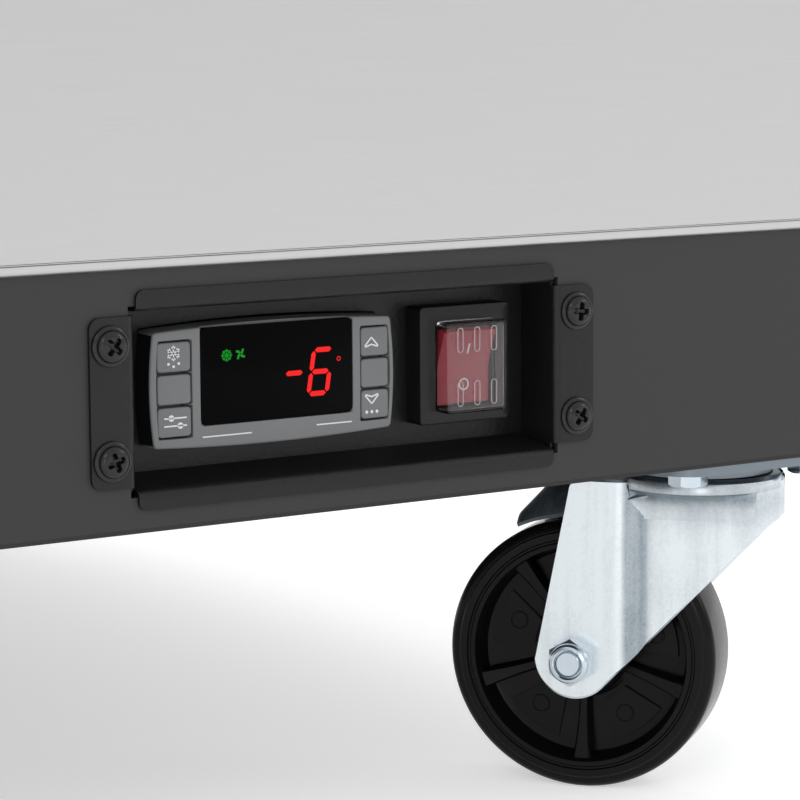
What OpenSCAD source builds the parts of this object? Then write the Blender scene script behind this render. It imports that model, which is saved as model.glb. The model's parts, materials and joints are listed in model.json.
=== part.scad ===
// Chest freezer on four swivel casters, with a stepped tub, a machine room at the right end
// and a control recess in the kick panel. Millimetres; origin on the floor below the centre.

/* [Cabinet] */
// Width of the cabinet and lid
cabinet_w = 1060; // [960:5:1400]
// Depth of the cabinet and lid, without handle and hinges
cabinet_d = 620; // [580:5:760]
// Height of the closed freezer above the floor
cabinet_h = 860; // [820:5:1040]
// Thickness of the cabinet's steel sheet
sheet_t = 1.2; // [0.8:0.1:1.5]
// Radius of the folded vertical corners
corner_r = 6; // [3:1:10]
// Distance from the outer skin to the tub's inner face
wall_t = 62; // [55:1:80]
// Height of the foam step over the machine room, from the kick panel's top edge
machine_room_h = 268; // [260:2:320]
// Width of the machine room and the wall beside it
machine_end_w = 315; // [310:1:340]

/* [Kick panel] */
// Height of the kick panel
kick_h = 65.6; // [62:0.1:80]
// How far the kick panel lies behind the stainless front
kick_setback = 2; // [1:0.5:6]
// Thickness of the kick panel and the base tray
tray_t = 1.5; // [1.2:0.1:2]

/* [Control box] */
// Distance of the controller's centre from the right side
control_from_side = 225; // [200:1:260]
// Height of the controller's centre above the kick panel's bottom edge
control_up = 33.5; // [33:0.1:34]
// Depth of the control recess
recess_depth = 15.4; // [14:0.1:20]
// Width of the recess opening
recess_w = 129.8; // [129.8:0.2:140]
// Thickness of the recess sheet
recess_t = 1; // [0.8:0.1:1.2]
// Width of the controller's bezel
bezel_w = 74; // [73:0.5:75]
// Height of the controller's bezel
bezel_h = 32; // [31.5:0.5:33]
// How far the bezel stands out of the recess floor
bezel_proud = 8; // [7:0.5:10]
// How far the switch frame stands out of the recess floor
switch_proud = 7; // [6:0.5:8]

/* [Lid and rim] */
// Thickness of the lid
lid_t = 48; // [44:1:70]
// Height of the gasket
gasket_h = 12; // [11:0.5:14]
// Height of the plastic rim above the cabinet's skin
rim_h = 15; // [14:0.5:20]
// How far handle and hinges stand out
reach = 21; // [20:0.5:26]

/* [Baskets] */
// Width of each basket
basket_w = 300; // [200:5:320]
// Free height between the baskets and the step's floor
basket_space = 102.4; // [60:0.1:140]
// Thickness of the basket wire
basket_wire = 3; // [2.5:0.5:4]

/* [Casters] */
// Height of a caster, floor to the top of its plate
caster_h = 104.8; // [104.8:0.1:120]
// Diameter of the wheel
wheel_d = 82.6; // [70:0.1:82.6]
// Width of the tread
wheel_w = 24; // [20:0.5:24.4]
// Trail: distance of the axle behind the kingpin
caster_trail = 34; // [33:0.5:36]
// Direction in which the casters trail, from +X towards +Y
swivel_deg = 128.5; // [0:0.5:360]
// Side of the square mounting plate
plate_w = 64; // [62:1:72]
// Spacing of the plate's bolts
bolt_pitch = 45; // [45:0.5:50]
// Distance of the kingpins from the sides
caster_from_side = 59.8; // [55:0.1:70]
// Distance of the front kingpins from the front
caster_from_front = 38.4; // [38:0.1:60]
// Distance of the rear kingpins from the back
caster_from_back = 52; // [50:0.5:70]

/* [Hidden] */

$fn = 48;
eps = 0.01;
run_gap = 0.05;   // radial clearance of a pin in its bore
part_gap = 0.3;   // gap between pieces that move past each other

half_w = cabinet_w / 2;
half_d = cabinet_d / 2;
tray_z = caster_h;
kick_z = tray_z + tray_t;
body_z = kick_z + kick_h;
lid_z = cabinet_h - lid_t;
rim_top = lid_z - gasket_h;
rim_z = rim_top - rim_h;
in_w = half_w - sheet_t;      // inside faces of the cabinet's sheets
in_d = half_d - sheet_t;
flange_w = 14;                // return flanges of the skin
front_wrap = 25;              // how far the front skin runs round the corners
back_in = in_d - sheet_t;     // inside face of the back panel

// tub and foam
tub_w = half_w - wall_t;
tub_d = half_d - wall_t;
tub_r = 12;
tub_floor = body_z + 58;
machine_x = half_w - machine_end_w;
step_x = machine_x - 60;      // inside face of the tub's step wall
machine_top = body_z + machine_room_h;
step_floor = machine_top + 60;
coil_gap = 10;
coil_d = 8;
liner_z = body_z + sheet_t;   // bottom face of the bottom liner
foam_z = liner_z + sheet_t;
drain_r = 10;
drain_x = -tub_w + 60;
drain_y = -tub_d + 60;

// control box, seen from the front: x to the right and z up from the controller's centre
control_x = half_w - control_from_side;
control_z = kick_z + control_up;
kick_y = -half_d + kick_setback;        // front face of the kick panel
floor_y = kick_y + recess_depth;        // front face of the recess floor
box_cx = 19.45;                         // recess centre from the controller's centre
box_top = 21.6;
box_bottom = -24.1;
box_back_bottom = -21.4;                // the bottom wall rises towards the back
box_lip_top = 27;
box_lip_bottom = -28.9;
box_lip_gap = 0.5;                      // the lips end short of the tabs
tab_w = 12.8;
tab_half_h = 21.7;
tab_cz = -1;
screw_z = 14.5;
screw_in = recess_w / 2 + 7;            // screws from the recess centre
screw_r = 1.95;
panel_gap = 0.4;                        // between the box walls and the kick panel's opening

// controller
bezel_bulge = 1.1;                      // how far each bezel side curves out
bezel_y = floor_y - bezel_proud;
body_w = 71;
body_h = 29;
body_len = 59;
key_half_gap = 0.4;
key_t = 3;
key_left = [-34.3, -24.6];
key_right = [26.3, 34.8];
key_rows = [4.2, 12.6];
window_x = [-22.2, 24];
window_z = [-10, 15.2];
window_t = 1.5;

// switch
switch_x = [46.1, 75.5];
switch_z = [-15.8, 16.3];
switch_y = floor_y - switch_proud;
switch_len = 25;
cover_x = [51.1, 70.9];
cover_z = [-12.5, 12.25];
cover_t = 0.8;
cover_proud = 5.6;
well_x = [52.5, 69.5];
well_z = [-11.5, 11.3];
rocker_y = switch_y + 3.6;
rocker_half = 9.4;
rocker_tilt = 10;
rocker_pin_r = 1.2;

// machine room
coil_room = 81;               // coil and fan shroud take this much of the machine room
comp_gap_wall = 31;           // compressor to the machine room's wall
comp_gap_fan = 51;            // compressor to the fan shroud
comp_r = (machine_end_w - coil_room - comp_gap_wall - comp_gap_fan) / 2;
comp = [machine_x + comp_gap_wall + comp_r, 145, kick_z];
comp_h = 185;
dome_r = comp_r - 26;
comp_out_z = kick_z + 140;   // height of the discharge tube
suction_drop = 30;            // how far below it the suction tube sits
terminal_z = [75, 145];
foot_h = 14;
foot_dx = comp_r - 6;
foot_dy = 55;
fan_y = -30;
fan_z = kick_z + 155;
fan_r = 100;
ring_r = 105;
shroud_x = half_w - coil_room;
coil_x = half_w - 73;
coil_w = 56;
coil_rows = 10;
coil_pitch = 27;
coil_z0 = kick_z + 34;
coil_half = 140;
coil_tube_x = coil_x + coil_w / 2;
tube_d = 8;
motor_x = shroud_x - 76;
motor_len = 50;
motor_r = 40;
shaft_r = 4;
blade_x = shroud_x - 9;
drier_y = comp[1] + 70;
drier_z = coil_z0 + 62;
drier_len = 110;
drier_r = 11;
grille_y = [-150, 100];
grille_z = [kick_z + 84, kick_z + 294];
gland_x = machine_x + 40;
gland_z = body_z + 30;
gland_r = 4.5;

// rim, lid, handle and hinges
rim_in_x = tub_w - 9;
rim_in_y = tub_d - 9;
rebate_w = 10;
rebate_h = 8;
gasket_out = 12;
gasket_w = 28;
lid_in_z = lid_z + sheet_t;
liner_t = 1.5;
liner_plug = 7;
handle_half = 110;
handle_z = [lid_z + 6, lid_z + 42];
lock_x = handle_half - 54;
lock_r = 8;
lock_z = lid_z + 16;
stud_z = rim_top - 8;
hook_r = lock_z - stud_z;
stud_r = 3;
cam_t = 3;
hinge_y = half_d + reach - 9;
hinge_z = lid_z;
hinge_r = 9;
hinge_pin_r = 4;
hinge_x = half_w - 200;
hinge_half = 34;
lug_half = 17;
plate_t = 4;

// baskets
basket_d = rim_in_y - 7;                // half depth, clear of the rim opening
basket_z = rim_top - rebate_h + part_gap;
basket_h = basket_z - step_floor - basket_space;
basket_from_end = 13;
basket_rim = 6;

// casters
wheel_r = wheel_d / 2;
wheel_half = wheel_w / 2;
axle_r = 4;
plate_h = 3;
plate_z = caster_h - plate_h;
race_z = plate_z - 3.5;
crown_z = race_z - part_gap;
crown_r = 25.5;
crown_h = 10;
fork_t = 2.5;
gusset_v = wheel_half + 0.5;            // inside face of the fork beside the wheel
strap_v = gusset_v + 4.2;               // inside face at the axle
strap_r = 12;
web_z = crown_z - 6;
tail_drop = 34.6;                       // slope of the fork's rear edge
tail_run = 33;
kingpin_r = 5;
bolt_r = 2.95;
caster_x = half_w - caster_from_side;
front_caster_y = -half_d + caster_from_front;
rear_caster_y = half_d - caster_from_back;

// ---------- shared shapes ----------

// rectangle with round corners
module round_rect(x0, x1, y0, y1, r) {
    translate([x0 + r, y0]) square([x1 - x0 - 2 * r, y1 - y0]);
    translate([x0, y0 + r]) square([x1 - x0, y1 - y0 - 2 * r]);
    for (x = [x0 + r, x1 - r], y = [y0 + r, y1 - r]) translate([x, y]) circle(r);
}

module box(x0, x1, y0, y1, z0, z1) {
    translate([x0, y0, z0]) cube([x1 - x0, y1 - y0, z1 - z0]);
}

// plate with round vertical edges
module slab(x0, x1, y0, y1, z0, z1, r) {
    translate([0, 0, z0]) linear_extrude(z1 - z0) round_rect(x0, x1, y0, y1, r);
}

// the cabinet's outline, moved inwards
module plan(inset) {
    r = max(corner_r - inset, 1);
    round_rect(-half_w + inset, half_w - inset, -half_d + inset, half_d - inset, r);
}

module plan_slab(inset, z0, z1) {
    translate([0, 0, z0]) linear_extrude(z1 - z0) plan(inset);
}

// upright skin with a flange at its bottom and top edge
module skin() {
    difference() {
        plan_slab(0, body_z, rim_z);
        plan_slab(sheet_t, body_z + sheet_t, rim_z - sheet_t);
        plan_slab(flange_w, body_z - 1, rim_z + 1);
    }
}

// an outline in x and z, drawn out along y
module along_y(y0, y1) {
    translate([0, y1, 0]) rotate([90, 0, 0]) linear_extrude(y1 - y0) children();
}

// an outline in y and z, drawn out along x
module along_x(x0, x1) {
    translate([x0, 0, 0]) rotate([90, 0, 90]) linear_extrude(x1 - x0) children();
}

module rod_x(r, x0, x1) { translate([x0, 0, 0]) rotate([0, 90, 0]) cylinder(h = x1 - x0, r = r); }
module rod_y(r, y0, y1) { translate([0, y1, 0]) rotate([90, 0, 0]) cylinder(h = y1 - y0, r = r); }

// round tube through a list of points, its bends filled by balls
module pipe(points, d) {
    last = len(points) - 1;
    for (i = [0:last - 1]) {
        run = points[i + 1] - points[i];
        translate(points[i]) rotate([0, acos(run[2] / norm(run)), atan2(run[1], run[0])])
            cylinder(h = norm(run), d = d);
    }
    for (i = [1:1:last - 1]) translate(points[i]) sphere(d = d);
}

// hexagon bar of a given width over its flats
module hex(across, h) { cylinder(h = h, r = across / sqrt(3), $fn = 6); }

// ---------- cabinet ----------

module front_panel() color("#c8cacc")
    intersection() {
        skin();
        box(-half_w, half_w, -half_d, -half_d + front_wrap, body_z, rim_z);
    }

module side_panel(side) color("#c4c6c8")
    difference() {
        intersection() {
            skin();
            box(side < 0 ? -half_w : half_w - flange_w, side < 0 ? -half_w + flange_w : half_w,
                -half_d + front_wrap, half_d, body_z, rim_z);
        }
        if (side > 0)
            box(in_w - 1, half_w + 1, grille_y[0], grille_y[1], grille_z[0], grille_z[1]);
    }

module back_panel() color("#9a9c9e")
    difference() {
        box(-in_w + flange_w, in_w - flange_w, back_in, in_d, body_z + sheet_t, rim_z - sheet_t);
        for (z = [body_z + 60:18:machine_top - 30])
            box(machine_x + 80, half_w - 40, back_in - 1, in_d + 1, z, z + 6);
        translate([gland_x, 0, gland_z]) rod_y(8, back_in - 1, in_d + 1);
    }

module tub_solid(grow) {
    slab(-tub_w - grow, step_x + grow, -tub_d - grow, tub_d + grow,
         tub_floor - grow, rim_z + (grow > 0 ? 0 : 1), tub_r + grow);
    slab(-tub_w - grow, tub_w + grow, -tub_d - grow, tub_d + grow,
         step_floor - grow, rim_z + (grow > 0 ? 0 : 1), tub_r + grow);
}

module inner_tub() color("#e9edf0")
    difference() {
        union() {
            tub_solid(sheet_t);
            box(-in_w + flange_w, in_w - flange_w, -in_d + flange_w, in_d - flange_w,
                rim_z - sheet_t, rim_z);
            translate([drain_x, drain_y, kick_z + 20])
                cylinder(h = tub_floor - kick_z - 20 - eps, r = drain_r + 2);
        }
        tub_solid(0);
        translate([drain_x, drain_y, kick_z]) cylinder(h = tub_floor, r = drain_r);
    }

module foam_body() color("#e6d49a")
    difference() {
        intersection() {
            along_y(-in_d, back_in)
                polygon([[-in_w, foam_z], [machine_x, foam_z], [machine_x, machine_top],
                         [in_w, machine_top], [in_w, rim_z - sheet_t], [-in_w, rim_z - sheet_t]]);
            plan_slab(sheet_t, body_z, rim_z);
        }
        box(-tub_w - coil_gap, step_x + coil_gap, -tub_d - coil_gap, tub_d + coil_gap,
            tub_floor - sheet_t, rim_z);
        box(-tub_w - coil_gap, tub_w + coil_gap, -tub_d - coil_gap, tub_d + coil_gap,
            step_floor - sheet_t, rim_z);
        translate([drain_x, drain_y, 0]) cylinder(h = tub_floor, r = drain_r + 2.5);
    }

module rim_frame() color("#5b5e61")
    difference() {
        union() {
            plan_slab(0.5, rim_z, rim_top);
            slab(-tub_w + 0.5, tub_w - 0.5, -tub_d + 0.5, tub_d - 0.5, rim_z - 13, rim_z + eps, tub_r);
        }
        slab(-rim_in_x, rim_in_x, -rim_in_y, rim_in_y, rim_z - 20, rim_top + 1, tub_r - 5);
        slab(-rim_in_x - rebate_w, rim_in_x + rebate_w, -rim_in_y - rebate_w, rim_in_y + rebate_w,
             rim_top - rebate_h, rim_top + 1, tub_r);
    }

// stepped sheet under the foam: bottom, machine room wall and machine room ceiling
module bottom_liner() color("#b7bcc0")
    difference() {
        intersection() {
            along_y(-in_d, back_in)
                polygon([[-in_w, liner_z], [machine_x + sheet_t, liner_z],
                         [machine_x + sheet_t, machine_top - sheet_t], [in_w, machine_top - sheet_t],
                         [in_w, machine_top], [machine_x, machine_top], [machine_x, foam_z],
                         [-in_w, foam_z]]);
            plan_slab(sheet_t, body_z, rim_z);
        }
        translate([drain_x, drain_y, 0]) cylinder(h = foam_z + 1, r = drain_r + 2.5);
    }

module base_tray() color("#2a2b2d")
    difference() {
        box(-half_w + 2, half_w - 2, kick_y + tray_t + 0.5, half_d - 2, tray_z, body_z);
        box(-half_w + 2 + tray_t, half_w - 2 - tray_t, kick_y - 1, half_d - 2 - tray_t,
            kick_z, body_z + 1);
        at_casters() plate_holes(tray_z - 1, kick_z + 1);
        translate([drain_x, drain_y, tray_z - 1]) cylinder(h = tray_t + 2, r = drain_r + 5);
    }

module kick_panel() color("#424345")
    difference() {
        union() {
            box(-half_w + 2, half_w - 2, kick_y, kick_y + tray_t, kick_z, body_z);
            for (z = [kick_z, body_z - tray_t])
                box(-half_w + 2 + tray_t + 0.2, half_w - 2 - tray_t - 0.2,
                    kick_y, kick_y + 7.5, z, z + tray_t);
        }
        at_control() {
            box(box_cx - recess_w / 2 - recess_t - panel_gap,
                box_cx + recess_w / 2 + recess_t + panel_gap, kick_y - 1, kick_y + tray_t + 1,
                box_bottom - recess_t - panel_gap, box_top + recess_t + panel_gap);
            at_screws() rod_y(screw_r + run_gap, kick_y - 1, kick_y + tray_t + 1);
        }
    }

// ---------- control box ----------

module at_control() { translate([control_x, 0, control_z]) children(); }

module at_screws() {
    for (x = [-screw_in, screw_in], z = [-screw_z, screw_z])
        translate([box_cx + x, 0, tab_cz + z]) children();
}

module recess_profile(grow, front, back) {
    polygon([[front, box_bottom - grow], [kick_y, box_bottom - grow],
             [back, box_back_bottom - grow], [back, box_top + grow], [front, box_top + grow]]);
}

module control_box() color("#2c2d2f")
    at_control() difference() {
        union() {
            translate([box_cx, 0, 0]) {
                along_x(-recess_w / 2 - recess_t, recess_w / 2 + recess_t)
                    recess_profile(recess_t, kick_y, floor_y + recess_t);
                for (s = [-1, 1])
                    translate([s * (recess_w / 2 + tab_w / 2), 0, tab_cz]) along_y(kick_y - recess_t, kick_y)
                        round_rect(-tab_w / 2, tab_w / 2, -tab_half_h, tab_half_h, 3);
                for (z = [[box_bottom, box_lip_bottom], [box_top, box_lip_top]])
                    along_y(kick_y - recess_t, kick_y)
                        round_rect(-recess_w / 2 + box_lip_gap, recess_w / 2 - box_lip_gap,
                                   min(z), max(z), 2.3);
            }
        }
        translate([box_cx, 0, 0]) {
            along_x(-recess_w / 2, recess_w / 2)
                recess_profile(0, kick_y - recess_t - 1, floor_y);
        }
        box(-body_w / 2 - 0.2, body_w / 2 + 0.2, floor_y - 1, floor_y + 2,
            -body_h / 2 - 0.2, body_h / 2 + 0.2);
        box(switch_x[0] + 1.4, switch_x[1] - 1.4, floor_y - 1, floor_y + 2,
            switch_z[0] + 1.4, switch_z[1] - 1.4);
        at_screws() rod_y(screw_r + run_gap, kick_y - 3, kick_y + 1);
    }

module control_box_screws() color("#8d8f91")
    at_control() at_screws() {
        rod_y(screw_r, kick_y - recess_t - eps, kick_y + 9);
        difference() {
            union() {
                rod_y(5.25, kick_y - recess_t - 0.8, kick_y - recess_t);
                rod_y(4, kick_y - recess_t - 2.5, kick_y - recess_t);
            }
            for (a = [0, 90]) rotate([0, a, 0])
                box(-2.2, 2.2, kick_y - recess_t - 3, kick_y - recess_t - 1, -0.45, 0.45);
        }
    }

module controller_housing() color("#333436")
    at_control() {
        box(-body_w / 2, body_w / 2, floor_y, floor_y + body_len, -body_h / 2, body_h / 2);
        for (s = [-1, 1])
            box(s * (body_w / 2 + 2.5) - 2.5, s * (body_w / 2 + 2.5) + 2.5,
                floor_y + recess_t, floor_y + recess_t + 16, -7, 7);
    }

// outline of the bezel: four shallow arcs
module bezel_outline() {
    hw = bezel_w / 2;
    hh = bezel_h / 2;
    b = bezel_bulge;
    r_long = (pow(hw - b, 2) + b * b) / (2 * b);
    r_short = (pow(hh - b, 2) + b * b) / (2 * b);
    intersection() {
        translate([0, hh - r_long]) circle(r_long, $fn = 720);
        translate([0, r_long - hh]) circle(r_long, $fn = 720);
        translate([hw - r_short, 0]) circle(r_short, $fn = 360);
        translate([r_short - hw, 0]) circle(r_short, $fn = 360);
        round_rect(-hw, hw, -hh, hh, 2);
    }
}

module key_field(x, z, gap) {
    translate([x[0] + gap, z[0] + gap]) square([x[1] - x[0] - 2 * gap, z[1] - z[0] - 2 * gap]);
}

module controller_bezel() color("#787a7c")
    at_control() difference() {
        along_y(bezel_y, floor_y) bezel_outline();
        along_y(bezel_y - 1, floor_y + 1)
            for (x = [key_left, key_right], s = [-1, 1])
                key_field(x, s > 0 ? key_rows : [-key_rows[1], -key_rows[0]], 0);
        box(window_x[0], window_x[1], bezel_y - 1, bezel_y + window_t, window_z[0], window_z[1]);
        box(window_x[0] + 2, window_x[1] - 2, bezel_y, floor_y + 1,
            window_z[0] + 2, window_z[1] - 4);
    }

module display_window() color("#3a2f30", 0.7)
    at_control() box(window_x[0], window_x[1], bezel_y, bezel_y + window_t, window_z[0], window_z[1]);

module key_cap(x, upper) color("#6f7173")
    at_control() along_y(bezel_y, bezel_y + key_t)
        key_field(x, upper ? key_rows : [-key_rows[1], -key_rows[0]], key_half_gap);

module switch_housing() color("#1d1e20")
    at_control() difference() {
        union() {
            along_y(switch_y, floor_y)
                round_rect(switch_x[0], switch_x[1], switch_z[0], switch_z[1], 1.5);
            box(switch_x[0] + 1.6, switch_x[1] - 1.6, floor_y - eps, floor_y + switch_len,
                switch_z[0] + 1.6, switch_z[1] - 1.6);
            for (x = [55, 67], z = [-7, 7])
                box(x - 0.4, x + 0.4, floor_y + switch_len - 1, floor_y + switch_len + 8,
                    z - 3.15, z + 3.15);
        }
        box(well_x[0], well_x[1], switch_y - 1, switch_y + 14, well_z[0], well_z[1]);
        translate([0, rocker_y, 0]) rod_x(rocker_pin_r + run_gap, well_x[0] - 1.5, well_x[1] + 1.5);
    }

module switch_cover() color("#f4f4f4", 0.35)
    at_control() difference() {
        along_y(switch_y - cover_proud, switch_y)
            round_rect(cover_x[0], cover_x[1], cover_z[0], cover_z[1], 1.5);
        box(cover_x[0] + cover_t, cover_x[1] - cover_t, switch_y - cover_proud + cover_t,
            switch_y + 1, cover_z[0] + cover_t, cover_z[1] - cover_t);
    }

// rocker in its off position: top end out, bottom end pressed in
module switch_rocker() color("#c5202a", 0.85)
    at_control() translate([0, rocker_y, 0]) {
        rotate([rocker_tilt, 0, 0]) along_x(well_x[0] + 0.3, well_x[1] - 0.3)
            polygon([[-4.3, -rocker_half], [-3, 0], [-4.3, rocker_half], [-1, rocker_half],
                     [4.5, 3], [4.5, -3], [-1, -rocker_half]]);
        rod_x(rocker_pin_r, well_x[0] - 1.3, well_x[1] + 1.3);
    }

// ---------- machine room ----------

module compressor() color("#1f2022")
    translate(comp) {
        translate([0, 0, foot_h + 2.5 + 6]) rotate_extrude($fn = 96) {
            square([comp_r - dome_r, comp_h]);
            square([comp_r, comp_h - dome_r]);
            intersection() {
                translate([comp_r - dome_r, comp_h - dome_r]) circle(dome_r, $fn = 96);
                square([comp_r, comp_h]);
            }
        }
        box(-foot_dx - 18, foot_dx + 18, -foot_dy - 18, foot_dy + 18, foot_h, foot_h + 2.5);
        box(36 - comp_r, comp_r - 36, 36 - comp_r, comp_r - 36, foot_h, foot_h + 20);
        box(-30, 30, comp_r - 6, comp_r + 38, terminal_z[0], terminal_z[1]);
        translate([0, 0, comp_out_z - comp[2]]) {
            rod_x(tube_d / 2, comp_r - 12, comp_r + 8);
            translate([0, 0, -suction_drop]) rod_y(tube_d / 2, -comp_r - 8, -comp_r + 12);
        }
    }

module compressor_feet() color("#2b2b2b")
    for (x = [-foot_dx, foot_dx], y = [-foot_dy, foot_dy])
        translate([comp[0] + x, comp[1] + y, comp[2]]) difference() {
            union() {
                cylinder(h = 4, r = 14);
                cylinder(h = foot_h, r = 11);
            }
            translate([0, 0, -1]) cylinder(h = foot_h + 2, r = 4);
        }

module coil_row(i) {
    translate([coil_tube_x, fan_y, coil_z0 + i * coil_pitch]) rod_y(tube_d / 2, -coil_half, coil_half);
}

// U bend between rows i and i + 1, at the end named by side
module coil_bend(i, side) {
    translate([coil_tube_x, fan_y + side * coil_half, coil_z0 + (i + 0.5) * coil_pitch])
        rotate([0, 90, 0]) rotate([0, 0, side < 0 ? 180 : 0])
            rotate_extrude(angle = 180) translate([coil_pitch / 2, 0]) circle(tube_d / 2);
}

module condenser_coil() color("#a9adb0") {
    top = coil_z0 + (coil_rows - 0.3) * coil_pitch;
    difference() {
        union() {
            for (s = [-1, 1])
                box(coil_x, coil_x + coil_w, fan_y + s * (coil_half - 2) - 0.8,
                    fan_y + s * (coil_half - 2) + 0.8, kick_z, top);
            for (i = [0:20])
                box(coil_x + 2, coil_x + coil_w - 2, fan_y - 130 + i * 13 - 0.3,
                    fan_y - 130 + i * 13 + 0.3, coil_z0 - 14, top - 4);
            for (i = [0:coil_rows - 1]) coil_row(i);
            for (i = [0:2:coil_rows - 2]) coil_bend(i, -1);
            for (i = [1:2:coil_rows - 3]) coil_bend(i, 1);
            for (i = [0, coil_rows - 1])
                translate([coil_tube_x, fan_y, coil_z0 + i * coil_pitch])
                    rod_y(tube_d / 2, coil_half - 1, coil_half + 12);
        }
    }
}

module fan_shroud() color("#2e3033")
    difference() {
        union() {
            box(shroud_x, shroud_x + 2, fan_y - coil_half, fan_y + coil_half, kick_z, fan_z + 145);
            translate([0, fan_y, fan_z]) rod_x(ring_r + 2, shroud_x - 20, shroud_x + 1);
        }
        translate([0, fan_y, fan_z]) rod_x(ring_r, shroud_x - 21, shroud_x + 3);
    }

module fan_motor() color("#3c3f42")
    translate([0, fan_y, fan_z]) {
        rod_x(motor_r, motor_x, motor_x + motor_len);
        rod_x(shaft_r, motor_x + motor_len - 1, blade_x + 6);
        for (a = [0:90:270]) rotate([a + 45, 0, 0]) {
            box(motor_x + motor_len - 4, motor_x + motor_len, -6, 6, motor_r - 4, ring_r + 12);
            translate([0, 0, ring_r + 7]) rod_x(4, motor_x + motor_len - 1, shroud_x);
        }
    }

module fan_blade() color("#4a4d50")
    translate([blade_x, fan_y, fan_z]) difference() {
        union() {
            rod_x(22, -8, 7);
            intersection() {
                for (a = [0:72:288]) rotate([a, 0, 0])
                    translate([0, 0, 15]) rotate([0, 0, 28])
                        translate([-0.8, -17, 0]) cube([1.6, 34, fan_r]);
                rod_x(fan_r, -10, 10);
            }
        }
        rod_x(shaft_r + run_gap, -9, 8);
    }

module filter_drier() color("#b87333")
    translate([coil_tube_x, drier_y, drier_z]) {
        cylinder(h = drier_len, r = drier_r);
        translate([0, 0, -12]) cylinder(h = drier_len + 24, r = tube_d / 2);
    }

module refrigerant_tubes() color("#c58045") {
    top_row = coil_z0 + (coil_rows - 1) * coil_pitch;
    coil_end = fan_y + coil_half + 12;
    over_z = machine_top - 20;
    // hot gas from the compressor to the coil's top row
    pipe([[comp[0] + comp_r + 8, comp[1], comp_out_z], [coil_tube_x - 25, comp[1], comp_out_z],
          [coil_tube_x - 25, comp[1], top_row], [coil_tube_x, comp[1], top_row],
          [coil_tube_x, coil_end, top_row]], tube_d);
    // liquid from the coil's bottom row to the drier
    pipe([[coil_tube_x, coil_end, coil_z0], [coil_tube_x, drier_y, coil_z0],
          [coil_tube_x, drier_y, drier_z - 12]], tube_d);
    // liquid from the drier through the machine room wall
    pipe([[coil_tube_x, drier_y, drier_z + drier_len + 12], [coil_tube_x, drier_y, over_z],
          [machine_x + sheet_t, drier_y, over_z]], tube_d);
    // suction line back to the compressor
    pipe([[machine_x + sheet_t, 10, over_z - 20], [machine_x + 40, 10, over_z - 20],
          [machine_x + 40, 10, comp_out_z - suction_drop], [comp[0], 10, comp_out_z - suction_drop],
          [comp[0], comp[1] - comp_r - 8, comp_out_z - suction_drop]], tube_d);
}

// one turn of the cold tube round the tub, with round corners
module tub_ring(x0, x1, y, z) {
    r = tub_r + sheet_t + coil_d / 2 + 0.1;
    translate([(x0 + x1) / 2, 0, z]) {
        hx = (x1 - x0) / 2;
        for (s = [-1, 1]) {
            translate([0, s * y, 0]) rod_x(coil_d / 2, -hx + r, hx - r);
            translate([s * hx, 0, 0]) rod_y(coil_d / 2, -y + r, y - r);
        }
        for (a = [0:90:270]) {
            cx = (a == 0 || a == 270) ? hx - r : r - hx;
            cy = a < 180 ? y - r : r - y;
            translate([cx, cy, 0]) rotate([0, 0, a])
                rotate_extrude(angle = 90) translate([r, 0]) circle(coil_d / 2);
        }
    }
}

module evaporator_coil() color("#b9bec2") {
    off = sheet_t + coil_d / 2 + 0.1;
    low = [for (z = [tub_floor + 40:46:step_floor - 30]) z];
    high = [for (z = [step_floor + 30:46:rim_z - 40]) z];
    for (z = low) tub_ring(-tub_w - off, step_x + off, tub_d + off, z);
    for (z = high) tub_ring(-tub_w - off, tub_w + off, tub_d + off, z);
    // risers that join one turn to the next
    riser_x = -tub_w + 60;
    for (i = [0:len(low) - 2])
        translate([riser_x, (i % 2 == 0 ? 1 : -1) * (tub_d + off), low[i]]) cylinder(h = 46, d = coil_d);
    for (i = [0:len(high) - 2])
        translate([riser_x, (i % 2 == 0 ? 1 : -1) * (tub_d + off), high[i]]) cylinder(h = 46, d = coil_d);
    translate([riser_x, tub_d + off, low[len(low) - 1]])
        cylinder(h = high[0] - low[len(low) - 1], d = coil_d);
}

module side_grille() color("#232426")
    difference() {
        union() {
            box(in_w - 3, half_w, grille_y[0] + 0.2, grille_y[1] - 0.2,
                grille_z[0] + 0.2, grille_z[1] - 0.2);
            box(in_w - 3, in_w, grille_y[0] - 10, grille_y[1] + 10, grille_z[0] - 10, grille_z[1] + 10);
        }
        for (z = [grille_z[0] + 10:16:grille_z[1] - 18])
            along_x(in_w - 5, half_w + 1) round_rect(grille_y[0] + 12, grille_y[1] - 12, z, z + 7, 3);
    }

module cord_gland() color("#1b1c1e")
    translate([gland_x, 0, gland_z]) difference() {
        union() {
            rod_y(7.9, back_in - 12, in_d + 6);
            rod_y(12, in_d, in_d + 3);
            rod_y(10.5, back_in - 8, back_in);
        }
        rod_y(gland_r, back_in - 13, in_d + 7);
    }

// ---------- hinges ----------

module at_hinges() { for (x = [-hinge_x, hinge_x]) translate([x, 0, 0]) children(); }

module hinge_bodies() color("#9b9ea1")
    at_hinges() difference() {
        union() {
            box(-hinge_half, hinge_half, in_d, in_d + plate_t, rim_z - 92, rim_z - 2);
            for (s = [-1, 1]) along_x(s * (lug_half + 5) - 4, s * (lug_half + 5) + 4) {
                polygon([[in_d + plate_t - 1, rim_z - 70], [in_d + plate_t, rim_z - 70],
                         [hinge_y + hinge_r, hinge_z - 20], [hinge_y + hinge_r, hinge_z],
                         [hinge_y - hinge_r, hinge_z], [hinge_y - hinge_r, rim_z - 2],
                         [in_d + plate_t - 1, rim_z - 2]]);
                translate([hinge_y, hinge_z]) circle(hinge_r);
            }
        }
        translate([0, hinge_y, hinge_z]) rod_x(hinge_pin_r + run_gap, -hinge_half, hinge_half);
    }

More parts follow.
